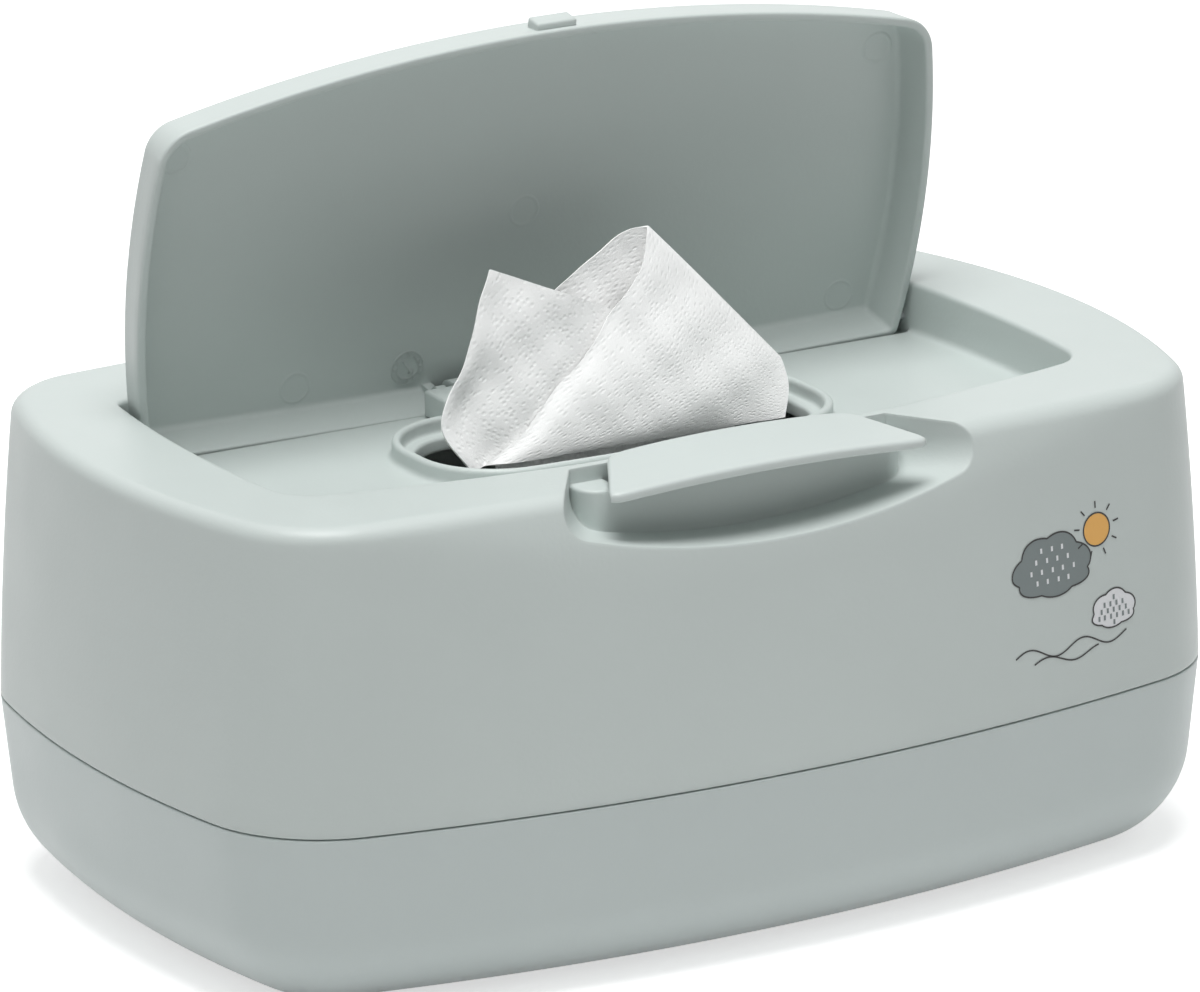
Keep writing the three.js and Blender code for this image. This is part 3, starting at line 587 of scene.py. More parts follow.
def softBand(value, at, width):
    return np.exp(-((value - at) / width) ** 2)


def ringRelief(r, a):
    return softBand(r, moulding["ringLine"], moulding["ringWidth"]) + 0 * a


def dialRelief(r, a):
    # two circles, radial ticks, and an arrow from the middle; lengths as shares of the radius
    d = dial
    size = d["radius"]
    circles = sum(softBand(r, size * share, d["circleWidth"]) for share in d["circles"])
    step = 2 * np.pi / d["ticks"]
    near = np.abs((a + step / 2) % step - step / 2) * r
    ticks = softBand(near, 0, d["tickWidth"]) * (r > size * d["tickFrom"]) * (r < size * d["tickTo"])
    x, y = r * np.cos(a - d["arrowTurn"]), r * np.sin(a - d["arrowTurn"])
    shaft = softBand(y, 0, d["shaftWidth"]) * (x > size * d["shaftFrom"]) * (x < size * d["shaftTo"])
    head = (np.abs(y) < (size * d["headTo"] - x) * d["headSlope"]) * (x > size * d["headFrom"]) \
        * (x < size * d["headTo"])
    return circles + ticks + shaft + head


def makeMouldMarks():
    m, d = moulding, dial
    marks = [reliefDisc(f"mould_ring_{i + 1}", place, m["ringRadius"], ringRelief, m["ringRise"])
             for i, place in enumerate(m["rings"])]
    return marks + [reliefDisc("date_dial", d["at"], d["radius"], dialRelief, d["rise"])]


# push button

button = {
    "front": rimFront + 1.4, "rear": rimFront + 20.4, "frontHalf": 39.6, "rearHalf": 29.6, "thickness": 2.2,
    "frontRise": 0.5, "rearRise": 3.1, "bow": 1500, "crown": 420, "edge": 0.8, "across": 28, "deep": 14,
    "squareness": 14, "middleShare": 0.9, "shares": (0.998, 0.9, 0.75, 0.6, 0.4, 0.2, 0.06),
    "axleY": rimFront + 16.7, "axleZ": deck - 4.2, "armX": 27, "armHalf": 2, "armDepth": 2.2, "boss": 2.6,
    "bore": 1.5, "hookHalf": 4.5, "hookLow": deck + 6.8, "hookThick": 1.6, "hookGap": 1.6,
}


def plateTop(x, y):
    b = button
    t = (y - b["front"]) / (b["rear"] - b["front"])
    return box["rim"] + mix(b["frontRise"], b["rearRise"], t) - x ** 2 / (2 * b["crown"])


def buttonRing(drop, inset):
    # the plate's edge line: a trapezoid with bowed front and back
    b = button
    go, flat = np.linspace(-1, 1, b["across"], endpoint=False), np.ones(b["across"])
    rise, side = np.linspace(-1, 1, b["deep"], endpoint=False), np.ones(b["deep"])
    u, v = np.concatenate([go, side, -go, -side]), np.concatenate([-flat, rise, flat, -rise])
    # eases the corners: squeezes the square towards a superellipse
    power = b["squareness"]
    length = (np.abs(u) ** power + np.abs(v) ** power) ** (1 / power)
    u, v = u / length, (v / length + 1) / 2
    x = (mix(b["frontHalf"], b["rearHalf"], v) - inset) * u
    bow = x ** 2 / (2 * b["bow"])
    y = mix(b["front"] + inset + bow, b["rear"] - inset - bow, v)
    return np.column_stack([x, y, plateTop(x, y) - drop])


def makeButtonPlate():
    b = button
    e, thick = b["edge"], b["thickness"]
    topEdge = buttonRing(0, e)
    # the middle line ends inside the slanted sides
    share = (topEdge[:, 1] - b["front"]) / (b["rear"] - b["front"])
    shorter = b["middleShare"] * mix(b["frontHalf"], b["rearHalf"], 0.5) / mix(b["frontHalf"], b["rearHalf"], share)
    middle = np.column_stack([topEdge[:, 0] * shorter, np.full(len(topEdge), (b["front"] + b["rear"]) / 2)])

    def inner(drop, t):
        p = mix(topEdge[:, :2], middle, t)
        return np.column_stack([p, plateTop(p[:, 0], p[:, 1]) - drop])

    rows = [inner(0, t) for t in b["shares"]]
    rows += [buttonRing(fall, rise) for fall, rise in easing(e)[::-1]]
    rows += [buttonRing(thick - fall, rise) for fall, rise in easing(e)]
    rows += [inner(thick, t) for t in b["shares"][::-1]]
    plate = solidFromRows("button_plate", rows, "button", smoothAngle=crease["block"])
    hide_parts("push_button")
    return plate


def makeButtonWorks():
    # two arms down to the axle with round bosses, and the hook with its foot behind the lid's catch
    b = button
    y, z, half, deep = b["axleY"], b["axleZ"], b["hookHalf"], b["armDepth"] / 2
    pieces = []
    for name, side in (("left", -1), ("right", 1)):
        x0, x1 = side * b["armX"] - b["armHalf"], side * b["armX"] + b["armHalf"]
        top = float(plateTop(b["armX"] + b["armHalf"], y)) - b["thickness"] / 2
        arm = softBlock(f"button_arm_{name}", (x0, y - deep, z), (x1, y + deep, top), body="button")
        join(arm, cylinderX("boss", b["boss"], x0, x1, y, z))
        pieces.append(cut(arm, cylinderX("bore", b["bore"], x0 - 1, x1 + 1, y, z)))
    thick, low, rear = b["hookThick"], b["hookLow"], scoop["wellRear"] - cover["play"]
    top = float(plateTop(0, rear)) - b["thickness"] / 2
    hook = bar("button_hook", half, (rear - thick, rear), (low, top), body="button")
    foot = bar("foot", half, (rear - thick, lidShape["front"] - b["hookGap"]), (low, low + thick))
    pieces.append(join(hook, foot))
    for piece in pieces:
        shade(piece)
    return pieces


# hinge housing

housing = {
    "half": 27.3, "neckHalf": 19.3, "front": 19.3, "step": 28.7, "roof": 3.0, "low": deck + 0.3, "edge": 0.7,
    "neckLap": 1.5, "neckDrop": 0.02, "past": 5, "pastX": 30, "cavityHalf": 8.0, "cavityReach": 2.2, "bore": 1.2,
    "screwX": 20, "screwY": 21.6, "screwBore": 1.4, "screwDepth": 2.6,
}


def makeHousing():
    # a bar with soft edges in front, a narrower back that is round over the hinge rod, hollow for the spring
    h, y, z = housing, hinge["y"], hinge["z"]
    low, top, neckHalf, past = h["low"], z + h["roof"], h["neckHalf"], h["past"]
    piece = bar("housing_shell", h["half"], (h["front"], h["step"]), (low, top), h["edge"], "cover")
    neck = bar("neck", neckHalf, (h["step"] - h["neckLap"], y), (low, top - h["neckDrop"]))
    join(neck, cylinderX("roll", h["roof"] - h["neckDrop"], -neckHalf, neckHalf, y, z))
    cut(neck, bar("below", h["pastX"], (y - past, y + past), (low - past, low)))
    join(piece, neck)
    reach = h["cavityReach"]
    cut(piece,
        bar("cavity", h["cavityHalf"], (y - reach, y + past), (low - 1, z + reach)),
        cylinderX("rod_bore", h["bore"], -neckHalf - 1, neckHalf + 1, y, z),
        *(cylinderZ("screw_bore", h["screwBore"], side * h["screwX"], h["screwY"], low - 1, low + h["screwDepth"])
          for side in (-1, 1)))
    shade(piece)
    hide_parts("hinge_housing")
    return piece


# the sheet that stands out of the slot

wipe = {
    "thickness": 0.5, "y": -7.0, "columns": 90, "rows": 70, "flatLength": 0.096,
    "diagonal": [(-34.8, 96.4), (-26.5, 101.3), (-17.2, 110), (-8.4, 117.8), (-2.1, 125.4), (5.4, 134.4),
                 (8.2, 142.4)],
    "ridge": [(8.2, 142.4), (15.8, 134.6), (27.8, 122), (40.8, 108.2)],
    "rightSide": [(38.8, 96), (41, 102.9), (40.8, 108.2)],
    "backLeft": [(-30.2, 96), (-22.2, 114.4), (-12.5, 130.7), (-2, 138.4), (4.4, 142), (8.2, 142.4)],
    "backRight": [(39.2, 96), (42.8, 102.9), (40.8, 108.2)],
    "leftSide": [(-39, 96.2), (-45.7, 106.6), (-39, 120.3), (-34.6, 132.9), (-31.8, 139)],
    "leftTop": [(-31.8, 139), (-22.2, 134.8), (-12.2, 130.4), (-2.1, 125.6), (7.8, 120.4)],
    "leftHidden": [(1.8, 96.4), (5.8, 107.4), (7.8, 120.4)],
    "foot": 96.0, "reach": 45.0, "lean": np.array([8.0, 13.5, -4.7]),
    "frontFoot": (-4.2, 96.4), "backFoot": (5.8, 96.2), "leftFoot": (-20, 96.2),
    "frontOut": 5.5, "backOut": 4.5, "swell": 3.0, "cuff": 1.6, "cuffShare": 0.05, "leftOut": 3.2, "leftRise": 1.8,
    "leftCuff": 2.6, "leftCuffShare": 0.09, "leftCuffPower": 0.7, "hiddenOut": 0.2, "foldPower": 6,
    "swellPower": 0.8, "footRipple": 0.25, "ripples": {"front": 1.3, "back": 0.9, "left": 0.8},
    "rippleShift": {"back": 30, "left": -20}, "foldedCloth": (72, 45), "leftCloth": (48, 42), "clothApart": 100,
}


def alongPath(points, t):
    # a point at share t of a smooth path: cubic through the control points by length
    p = np.asarray(points, float)
    step = np.r_[0, np.cumsum(np.hypot(*np.diff(p, axis=0).T))]
    step /= step[-1]
    slope = np.gradient(p, step, axis=0)
    k = np.clip(np.searchsorted(step, t, side="right") - 1, 0, len(p) - 2)
    h = (step[k + 1] - step[k])[:, None]
    s = ((t - step[k])[:, None]) / h
    a, b, ma, mb = p[k], p[k + 1], slope[k] * h, slope[k + 1] * h
    return (2 * s ** 3 - 3 * s ** 2 + 1) * a + (s ** 3 - 2 * s ** 2 + s) * ma + (3 * s ** 2 - 2 * s ** 3) * b \
        + (s ** 3 - s ** 2) * mb


def patch(foot, high, left, right, u, v):
    # Coons patch in the x-z plane: blends two pairs of opposite border curves; the low one runs through its foot
    low = [left[0], foot, right[0]]
    below, above, first, last = (alongPath(p, t) for p, t in ((low, u), (high, u), (left, v), (right, v)))
    u, v = u[:, None], v[:, None]
    corners = (1 - u) * (1 - v) * low[0] + u * (1 - v) * low[-1] + (1 - u) * v * high[0] + u * v * high[-1]
    return (1 - v) * below + v * above + (1 - u) * first + u * last - corners


def gridOf(rows, columns):
    v, u = np.meshgrid(np.linspace(0, 1, rows), np.linspace(0, 1, columns), indexing="ij")
    return u.ravel(), v.ravel()


def ripples(x, z, size):
    # low waves in three directions, as a damp sheet keeps from its folds
    waves = ((0.5, 0.31, 0.12, 0), (0.3, 0.17, -0.36, 1.3), (0.2, 0.55, 0.41, 2.1))
    return size * sum(share * np.sin(alongX * x + alongZ * z + shift) for share, alongX, alongZ, shift in waves)


def makeWipe():
    # a front and a back panel joined at the ridge, and a third panel that stands to their left
    w, size, shift = wipe, wipe["ripples"], wipe["rippleShift"]
    columns, rows = w["columns"], w["rows"]
    u, v = gridOf(rows, columns)
    belly, loose = np.sqrt(np.clip(1 - v, 0, 1)), 1 - v ** w["foldPower"]
    front = patch(w["frontFoot"], w["ridge"], w["diagonal"], w["rightSide"], u, v)
    swell = np.sin(np.pi * u) * np.sin(np.pi * v ** w["swellPower"])
    frontDepth = w["y"] - w["frontOut"] * belly - w["swell"] * swell \
        + ripples(front[:, 0], front[:, 1], size["front"]) * loose * mix(w["footRipple"], 1, v) \
        + w["cuff"] * np.exp(-(u / w["cuffShare"]) ** 2) * (1 - v)
    back = patch(w["backFoot"], w["ridge"], w["backLeft"], w["backRight"], u, v)
    backDepth = w["y"] + w["backOut"] * belly \
        + ripples(back[:, 0] + shift["back"], back[:, 1], size["back"]) * loose
    left = patch(w["leftFoot"], w["leftTop"], w["leftSide"], w["leftHidden"], u, v)
    leftDepth = w["y"] - w["leftOut"] + w["leftRise"] * v \
        + ripples(left[:, 0] + shift["left"], left[:, 1], size["left"]) \
        - w["leftCuff"] * np.exp(-(u / w["leftCuffShare"]) ** 2) * (1 - v) ** w["leftCuffPower"]
    leftDepth = mix(leftDepth, w["y"] + w["hiddenOut"], np.clip((u - 0.5) * 2, 0, 1))
    grids = [np.column_stack([flat[:, 0], depth, flat[:, 1]]).reshape(rows, columns, 3)
             for flat, depth in ((front, frontDepth), (back, backDepth), (left, leftDepth))]
    folded = np.concatenate([grids[0], grids[1][::-1][1:]])
    points = np.concatenate([folded.reshape(-1, 3), grids[2].reshape(-1, 3)])
    points = points + (points[:, 2:] - w["foot"]) / w["reach"] * w["lean"]
    faces = gridFaces(len(folded), columns, wrapColumns=False)
    faces += gridFaces(rows, columns, wrapColumns=False, start=folded.shape[0] * columns)
    foldedV = np.repeat(np.linspace(0, 2, len(folded)), columns) * w["foldedCloth"][1]
    foldedU = np.tile(np.linspace(0, 1, columns), len(folded)) * w["foldedCloth"][0]
    uv = np.column_stack([np.r_[foldedU, u * w["leftCloth"][0] + w["clothApart"]],
                          np.r_[foldedV, v * w["leftCloth"][1]]])
    piece = meshPiece("wipe_sheet", points, faces, "cover", crease["thin"], uv)
    area = thicken(piece, w["thickness"])
    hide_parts("wipe")
    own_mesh(piece)
    print("wipe made, area", round(area * 1e4, 1), "cm2")
    return piece


stack = {
    "length": 184, "depth": 100, "height": 54, "low": 3.1, "corner": 9, "layers": 24, "perLayer": 6, "groove": 0.9,
    "uneven": 0.25, "unevenStep": 1.7, "endInset": 4.0,
}


def makeStack():
    # folded sheets lying on each other: the side runs in and out once for each layer
    s = stack
    shape = evenLine(s["length"] / 2, -s["depth"] / 2, box["straight"], box["straight"], s["corner"])
    rows = []
    last = s["layers"] * s["perLayer"]
    for k in range(last + 1):
        phase = (k % s["perLayer"]) / s["perLayer"]
        inset = s["groove"] * (1 - math.sin(math.pi * phase)) ** 2 + s["uneven"] * math.sin(k * s["unevenStep"])
        inset = max(inset, 0) + (s["endInset"] if k in (0, last) else 0)
        rows.append(ring(shape, inset, s["low"] + s["height"] * k / last))
    piece = solidFromRows("wipe_pile", rows, "tray", crease["soft"])
    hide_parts("wipe_stack")
    return piece


feed = {"columns": 120, "rows": 24, "half": 29.5, "low": 57.6, "high": 96.8, "pleat": 2.1, "pleats": 6,
        "pleatMiddle": 0.6, "pleatChange": 0.4, "pleatTurn": 3, "cloth": (90, 40), "flatLength": 0.0392}


def makeFeed():
    # the sheet that leads up from the pile to the slot, gathered into soft pleats
    f = feed
    u, v = gridOf(f["rows"], f["columns"])
    y = wipe["y"] + f["pleat"] * np.sin(2 * np.pi * f["pleats"] * u) \
        * (f["pleatMiddle"] + f["pleatChange"] * np.cos(f["pleatTurn"] * u))
    points = np.column_stack([mix(-f["half"], f["half"], u), y, mix(f["low"], f["high"], v)])
    uv = np.column_stack([u * f["cloth"][0], v * f["cloth"][1]])
    faces = gridFaces(f["rows"], f["columns"], wrapColumns=False)
    piece = meshPiece("wipe_lead", points, faces, "tray", crease["soft"], uv)
    area = thicken(piece, wipe["thickness"])
    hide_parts("wipe_feed")
    return piece


# printed motif on the front: clouds and a sun in grey, white and warm yellow

motif = {
    "lift": 0.05, "line": 0.35, "lineLift": 0.09, "rings": 9, "heart": 0.02, "sun": (80.5, 79.5), "sunRadius": 3.6,
    "rays": 9, "rayTurn": 0.2, "rayFrom": 4.7, "rayTo": 6.2, "lobeSwell": 0.14, "lobeTurn": 0.4, "cloudFlat": 0.62,
    "dashApart": 0.3, "dashHalf": 0.55, "dashWidth": 0.55, "dashShift": 0.1, "dashRise": 0.6,
    "dashRoom": (0.86, 0.8, 0.5, 0.9),
    "clouds": [("big", (68.0, 72.5), (9.6, 7.6), 7, "grey", "white"),
               ("small", (84.5, 60.5), (5.6, 4.6), 6, "white", "grey")],
    "waves": [(57, 88, 55.5, 1.3), (62, 80, 53.4, 1.0)], "waveStep": 0.42, "layer": 0.01,
    "counts": {"sun": 80, "cloud": 160, "wave": 60, "ray": 5, "dash": 4},
}


def frontWall(flat, lift):
    # lays points of the x-z plane on the front wall, lifted off it
    x, z = np.asarray(flat, float).reshape(-1, 2).T
    t = (z - box["seam"]) / (box["rim"] - box["seam"])
    front, bow = (mix(seamLine[k], rimLine[k], t) for k in ("front", "frontBow"))
    y = -(front + bow - np.sqrt(bow ** 2 - x ** 2))
    return np.column_stack([x, -np.minimum(y, facetDepth(x, z)) - lift, z])


def printPiece(name, flat, faces, lift, ink):
    # a thin print that faces out of the front wall
    piece = meshPiece(name, frontWall(flat, lift), faces, "cover", smoothAngle=crease["thin"])
    if piece.data.polygons[0].normal.y > 0:
        piece.data.flip_normals()
    return wear(piece, looks[ink])


def decal(name, border, centre, lift, ink):
    # rings drawn in from a closed border to its centre
    steps, count = motif["rings"], len(border)
    flat = centre + (border - centre) * np.linspace(1, motif["heart"], steps)[:, None, None]
    faces = gridFaces(steps, count) + [list(range((steps - 1) * count, steps * count))]
    return printPiece(name, flat, faces, lift, ink)


def stroke(name, path, ink="black", width=motif["line"], above=0.0, closed=False):
    # a flat line of constant width along a path
    ahead = np.roll(path, -1, 0) - np.roll(path, 1, 0) if closed else np.gradient(path, axis=0)
    side = np.column_stack([-ahead[:, 1], ahead[:, 0]]) / np.hypot(*ahead.T)[:, None] * width / 2
    faces = gridFaces(len(path), 2, wrapRows=closed, wrapColumns=False)
    return printPiece(name, np.stack([path - side, path + side], 1), faces, motif["lineLift"] + above, ink)


def cloudBorder(centre, size, lobes):
    # a rounded border whose radius swells once for each lobe, flatter below
    a = fullTurn(motif["counts"]["cloud"])
    r = 1 + motif["lobeSwell"] * np.abs(np.sin(lobes * a / 2 + motif["lobeTurn"]))
    z = size[1] * r * np.sin(a)
    return centre + np.column_stack([size[0] * r * np.cos(a), np.where(z < 0, z * motif["cloudFlat"], z)])


def makeMotif():
    m, counts, layer = motif, motif["counts"], motif["layer"]
    rng = np.random.default_rng(4)
    sun = np.array(m["sun"])
    disc = onCircle(sun, m["sunRadius"], fullTurn(counts["sun"]))
    out = [decal("print_sun", disc, sun, m["lift"], "yellow"), stroke("print_sun_line", disc, closed=True)]
    for k in range(m["rays"]):
        a = 2 * math.pi * k / m["rays"] + m["rayTurn"]
        ray = sun + np.outer(np.linspace(m["rayFrom"], m["rayTo"], counts["ray"]), [math.cos(a), math.sin(a)])
        out.append(stroke(f"print_ray_{k + 1}", ray))
    wide, high, low, full = m["dashRoom"]
    for name, centre, size, lobes, ink, dash in m["clouds"]:
        centre, size = np.array(centre), np.array(size)
        border = cloudBorder(centre, size, lobes)
        out.append(decal(f"print_cloud_{name}", border, centre, m["lift"] + layer, ink))
        out.append(stroke(f"print_cloud_{name}_line", border, above=layer, closed=True))
        for k, (i, j) in enumerate([(i, j) for j in range(-2, 3) for i in range(-3, 4)]):
            at = centre + size * m["dashApart"] * [i + (j % 2) / 2, j] + [0, m["dashRise"]]
            if (((at - centre) / (size * [wide, high if at[1] > centre[1] else low])) ** 2).sum() > full:
                continue
            at = at + [rng.uniform(-m["dashShift"], m["dashShift"]), 0]
            line = np.linspace(at - [0, m["dashHalf"]], at + [0, m["dashHalf"]], counts["dash"])
            out.append(stroke(f"print_dash_{name}_{k}", line, dash, m["dashWidth"], 2 * layer))
    for k, (x0, x1, z, rise) in enumerate(m["waves"]):
        x = np.linspace(x0, x1, counts["wave"])
        out.append(stroke(f"print_wave_{k + 1}", np.column_stack([x, z + rise * np.sin((x - x0) * m["waveStep"])])))
    print("print made:", len(out), "marks")
    return out


# materials

surfaceInputs = {"Colour": "Base Color", "Roughness": "Roughness", "Normal": "Normal"}
socketKinds = {"Colour": "NodeSocketColor", "Normal": "NodeSocketVector"}


def addNode(tree, kind, inputs=None, **settings):
    node = tree.nodes.new("ShaderNode" + kind)
    for key, value in settings.items():
        setattr(node, key, value)
    for key, value in (inputs or {}).items():
        if isinstance(value, bpy.types.NodeSocket):
            tree.links.new(value, node.inputs[key])
        else:
            node.inputs[key].default_value = value
    return node


def maths(tree, operation, a, b):
    return addNode(tree, "Math", {0: a, 1: b}, operation=operation).outputs[0]


def rescale(tree, value, toMin, toMax, fromMin=0.0, fromMax=1.0, **settings):
    return addNode(tree, "MapRange", {"Value": value, "From Min": fromMin, "From Max": fromMax, "To Min": toMin,
                                      "To Max": toMax}, **settings).outputs[0]


def newGroup(name, inputs):
    # a group with the inputs given by name and first value, and the three outputs of a surface
    group = bpy.data.node_groups.new(name, "ShaderNodeTree")
    for key, value in inputs.items():
        kind = socketKinds.get(key, "NodeSocketFloat")
        group.interface.new_socket(key, in_out="INPUT", socket_type=kind).default_value = value
    for key in surfaceInputs:
        group.interface.new_socket(key, in_out="OUTPUT", socket_type=socketKinds.get(key, "NodeSocketFloat"))
    return group, group.nodes.new("NodeGroupInput").outputs


def closeGroup(group, *results):
    out = group.nodes.new("NodeGroupOutput")
    for key, result in zip(surfaceInputs, results):
        group.links.new(result, out.inputs[key])
    return group


def makeGrainGroup():
    # moulded surface: soft cloudy tone, a fine satin grain and a little uneven gloss
    group, given = newGroup("mouldedSurface", {
        "Colour": (0.7, 0.7, 0.7, 1), "Tone": 0.03, "Grain Size": 900.0, "Grain Depth": 0.06, "Gloss": 0.45,
        "Edge Radius": 0.0006})
    place = addNode(group, "TexCoord").outputs["Object"]
    cloud = addNode(group, "TexNoise", {"Vector": place, "Scale": 28.0, "Detail": 3.0}).outputs["Fac"]
    amount = maths(group, "MULTIPLY", rescale(group, cloud, -0.5, 0.5, 0.3, 0.7), given["Tone"])
    tint = addNode(group, "HueSaturation", {"Color": given["Colour"], "Value": maths(group, "ADD", amount, 1.0)})
    grain = addNode(group, "TexNoise", {"Vector": place, "Scale": given["Grain Size"], "Detail": 2.0})
    edge = addNode(group, "Bevel", {"Radius": given["Edge Radius"]}, samples=6)
    bump = addNode(group, "Bump", {"Height": grain.outputs["Fac"], "Strength": given["Grain Depth"],
                                   "Distance": 0.0004, "Normal": edge.outputs["Normal"]})
    uneven = addNode(group, "TexNoise", {"Vector": place, "Scale": 60.0, "Detail": 4.0}).outputs["Fac"]
    rough = maths(group, "ADD", rescale(group, uneven, -0.04, 0.04, 0.3, 0.7), given["Gloss"])
    return closeGroup(group, tint.outputs[0], rough, bump.outputs[0])


def makeTissueGroup():
    # damp nonwoven: rows of small pressed dimples set diagonally, fibre noise, and painted shade that greys the
    # hollows
    group, given = newGroup("pressedTissue", {
        "Colour": (0.9, 0.9, 0.9, 1), "Dimple Size": 1.5, "Dimple Depth": 0.5, "Fibre": 0.2})
    place = addNode(group, "UVMap", uv_map="UVMap").outputs["UV"]
    turned = addNode(group, "VectorRotate", {"Vector": place, "Angle": 0.6}, rotation_type="Z_AXIS")
    size = addNode(group, "VectorMath", {0: turned.outputs[0], "Scale": maths(
        group, "DIVIDE", 1.0, given["Dimple Size"])}, operation="SCALE")
    cells = addNode(group, "TexVoronoi", {"Vector": size.outputs[0], "Scale": 1.0, "Randomness": 0.5})
    dimple = rescale(group, cells.outputs["Distance"], 0.0, 1.0, 0.05, 0.5, interpolation_type="SMOOTHSTEP")
    fibre = addNode(group, "TexNoise", {"Vector": place, "Scale": 6.0, "Detail": 5.0, "Distortion": 1.2})
    fibre = fibre.outputs["Fac"]
    height = maths(group, "ADD", dimple, maths(group, "MULTIPLY", fibre, given["Fibre"]))
    bump = addNode(group, "Bump", {"Height": height, "Strength": given["Dimple Depth"], "Distance": 0.0003})
    # painted shade: the colour darkens a little towards the bottom of each dimple
    tint = addNode(group, "HueSaturation", {"Color": given["Colour"], "Value": rescale(group, dimple, 0.975, 1.0)})
    return closeGroup(group, tint.outputs[0], rescale(group, fibre, 0.72, 0.92), bump.outputs[0])


def newMaterial(name):
    material = bpy.data.materials.new(name)
    material.use_nodes = True
    return material, material.node_tree, material.node_tree.nodes["Principled BSDF"]


def makeMaterial(name, group, values):
    material, tree, surface = newMaterial(name)
    effect = addNode(tree, "Group", values, node_tree=group)
    for source, target in surfaceInputs.items():
        tree.links.new(effect.outputs[source], surface.inputs[target])
    return material


def wear(piece, material):
    piece.data.materials.clear()
    piece.data.materials.append(material)
    return piece


finishes = {
    "cover": ("coverPlastic", (0.575, 0.63, 0.612, 1), 0.02, 0.42, 0.10, 0.001),
    "lid": ("lidPlastic", (0.575, 0.63, 0.612, 1), 0.02, 0.40, 0.08, 0.0006),
    "tray": ("trayPlastic", (0.575, 0.635, 0.625, 1), 0.02, 0.42, 0.10, 0.0006),
    "button": ("buttonPlastic", (0.60, 0.655, 0.638, 1), 0.02, 0.40, 0.08, 0.0006),
    "rubber": ("softRubber", (0.21, 0.23, 0.22, 1), 0.08, 0.78, 0.3, 0.0006),
    "steel": ("brightWire", (0.6, 0.61, 0.62, 1), 0.05, 0.28, 0.15, 0.0001),
    "grey": ("greyInk", (0.20, 0.235, 0.235, 1), 0.04, 0.5, 0.1, 0.0006),
    "white": ("whiteInk", (0.82, 0.83, 0.85, 1), 0.04, 0.5, 0.1, 0.0006),
    "black": ("blackInk", (0.02, 0.02, 0.02, 1), 0.04, 0.5, 0.1, 0.0006),
    "yellow": ("yellowInk", (0.85, 0.46, 0.12, 1), 0.04, 0.5, 0.1, 0.0006),
}
finishInputs = ("Colour", "Tone", "Gloss", "Grain Depth", "Edge Radius")
grain = makeGrainGroup()
looks = {key: makeMaterial(name, grain, dict(zip(finishInputs, values)))
         for key, (name, *values) in finishes.items()}
looks["steel"].node_tree.nodes["Principled BSDF"].inputs["Metallic"].default_value = 1.0
looks["tissue"] = makeMaterial("dampTissue", makeTissueGroup(), {
    "Colour": (0.985, 0.988, 0.982, 1), "Dimple Size": 1.4, "Dimple Depth": 0.36, "Fibre": 0.6})


# put the pieces together

wear(makeCover(), looks["cover"])
wear(makeTray(), looks["tray"])
wear(makeLid(), looks["lid"])
for mark in makeMouldMarks():
    wear(mark, looks["lid"])
wear(makeButtonPlate(), looks["button"])
for piece in makeButtonWorks():
    wear(piece, looks["button"])
wear(makeHousing(), looks["cover"])
for make in (makeWipe, makeStack, makeFeed):
    wear(make(), looks["tissue"])
makeMotif()
nodeLooks = {
    "cover": ["top_cover", "hinge_housing"], "tray": ["base_tray"], "lid": ["flip_lid"], "button": ["push_button"],
    "tissue": ["wipe", "wipe_stack", "wipe_feed"],
    "rubber": ["seam_seal", "foot_pad_1", "foot_pad_2", "foot_pad_3", "foot_pad_4"],
    "steel": ["hinge_axle", "lid_spring", "lid_pin_left", "lid_pin_right", "housing_screw_left",
              "housing_screw_right", "button_axle", "button_spring"],
}
for look, names in nodeLooks.items():
    for name in names:
        wear(nodes[name], looks[look])
print("materials on")


# floor, light and camera

stageSetting = {
    "floor": 3.0, "floorTone": 0.8, "floorRoughness": 0.9, "floorGlow": 0.6, "skyTint": (0.98, 1.0, 1.0, 1),
    "horizonLight": 0.1, "zenithLight": 0.35, "horizonRise": 0.1, "zenithRise": 0.8,
}
keyLamp = {"at": (-0.19, -0.22, 1.75), "toward": (0, 0, 0.08), "size": 1.0, "power": 26.5}
view = {
    "focal": 9556.8, "pictureWidth": 1200, "sensor": 36, "azimuth": -30.069, "elevation": 17.084,
    "distance": 2.03504, "target": (-0.012858, -0.022056, 0.089079), "roll": -0.5867, "far": 20,
}


def cameraRayMix(tree, seen, other):
    # mixes two shaders: seen by the camera, by gloss and through glass, or by other light
    path = addNode(tree, "LightPath").outputs
    near = maths(tree, "MAXIMUM", path["Is Camera Ray"], path["Is Glossy Ray"])
    near = maths(tree, "MAXIMUM", near, path["Is Transmission Ray"])
    return addNode(tree, "MixShader", {0: near, 1: other.outputs[0], 2: seen.outputs[0]}).outputs[0]


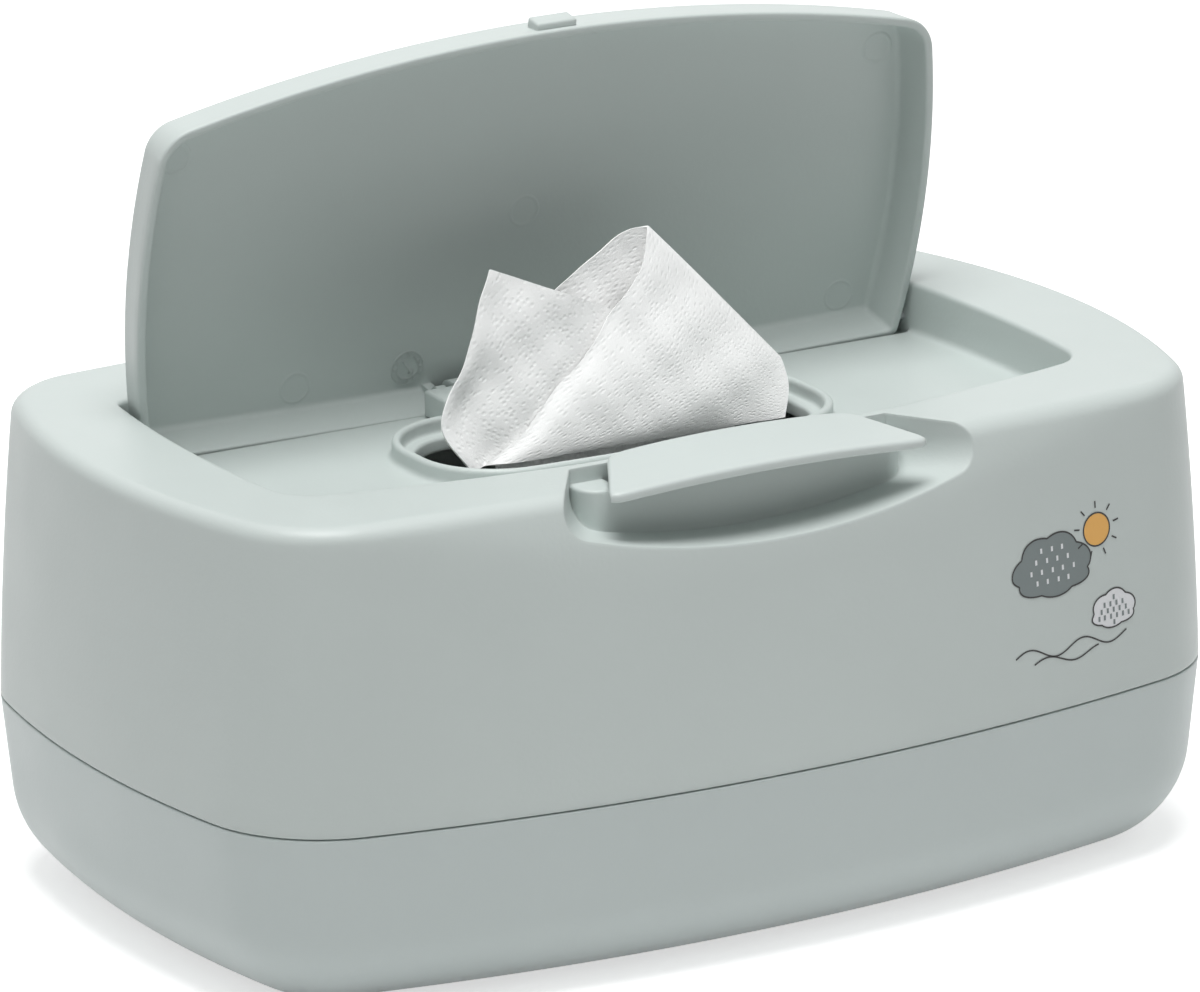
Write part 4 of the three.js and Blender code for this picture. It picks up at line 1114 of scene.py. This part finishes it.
def makeStage():
    s = stageSetting
    half = s["floor"] * 1000
    floor = meshPiece("floor", [(-half, -half, 0), (half, -half, 0), (half, half, 0), (-half, half, 0)],
                      [(0, 1, 2, 3)])
    material, tree, surface = newMaterial("paleFloor")
    surface.inputs["Base Color"].default_value = (s["floorTone"],) * 3 + (1,)
    surface.inputs["Roughness"].default_value = s["floorRoughness"]
    glow = addNode(tree, "Emission", {"Color": (1, 1, 1, 1), "Strength": s["floorGlow"]})
    both = addNode(tree, "AddShader", {0: surface.outputs[0], 1: glow.outputs[0]})
    tree.links.new(cameraRayMix(tree, both, surface), tree.nodes["Material Output"].inputs["Surface"])
    wear(floor, material)
    world = bpy.data.worlds.new("studio")
    world.use_nodes = True
    bpy.context.scene.world = world
    tree = world.node_tree
    sky = tree.nodes["Background"]
    sky.inputs["Color"].default_value = s["skyTint"]
    height = addNode(tree, "SeparateXYZ", {0: addNode(tree, "TexCoord").outputs["Generated"]}).outputs["Z"]
    tree.links.new(rescale(tree, height, s["horizonLight"], s["zenithLight"], s["horizonRise"], s["zenithRise"],
                           interpolation_type="SMOOTHSTEP"), sky.inputs["Strength"])
    white = addNode(tree, "Background", {"Color": (1, 1, 1, 1), "Strength": 1.0})
    tree.links.new(cameraRayMix(tree, white, sky), tree.nodes["World Output"].inputs["Surface"])


def makeLamp():
    k = keyLamp
    data = bpy.data.lights.new("keyLamp", "AREA")
    data.shape, data.size, data.energy = "DISK", k["size"], k["power"]
    lamp = addObject("keyLamp", data)
    lamp.location = k["at"]
    lamp.rotation_euler = (Vector(k["toward"]) - Vector(k["at"])).to_track_quat("-Z", "Y").to_euler()


def makeCamera():
    turn = Matrix()
    for angle, axis in ((view["azimuth"], "Z"), (90 - view["elevation"], "X"), (view["roll"], "Z")):
        turn = turn @ Matrix.Rotation(math.radians(angle), 4, axis)
    data = bpy.data.cameras.new("camera")
    data.sensor_fit, data.sensor_width, data.clip_end = "HORIZONTAL", view["sensor"], view["far"]
    data.lens = view["sensor"] * view["focal"] / view["pictureWidth"]
    camera = addObject("camera", data)
    camera.matrix_world = Matrix.Translation(view["target"]) @ turn @ Matrix.Translation((0, 0, view["distance"]))
    bpy.context.scene.camera = camera


makeStage()
makeLamp()
makeCamera()
bpy.context.scene.view_settings.view_transform = "Standard"
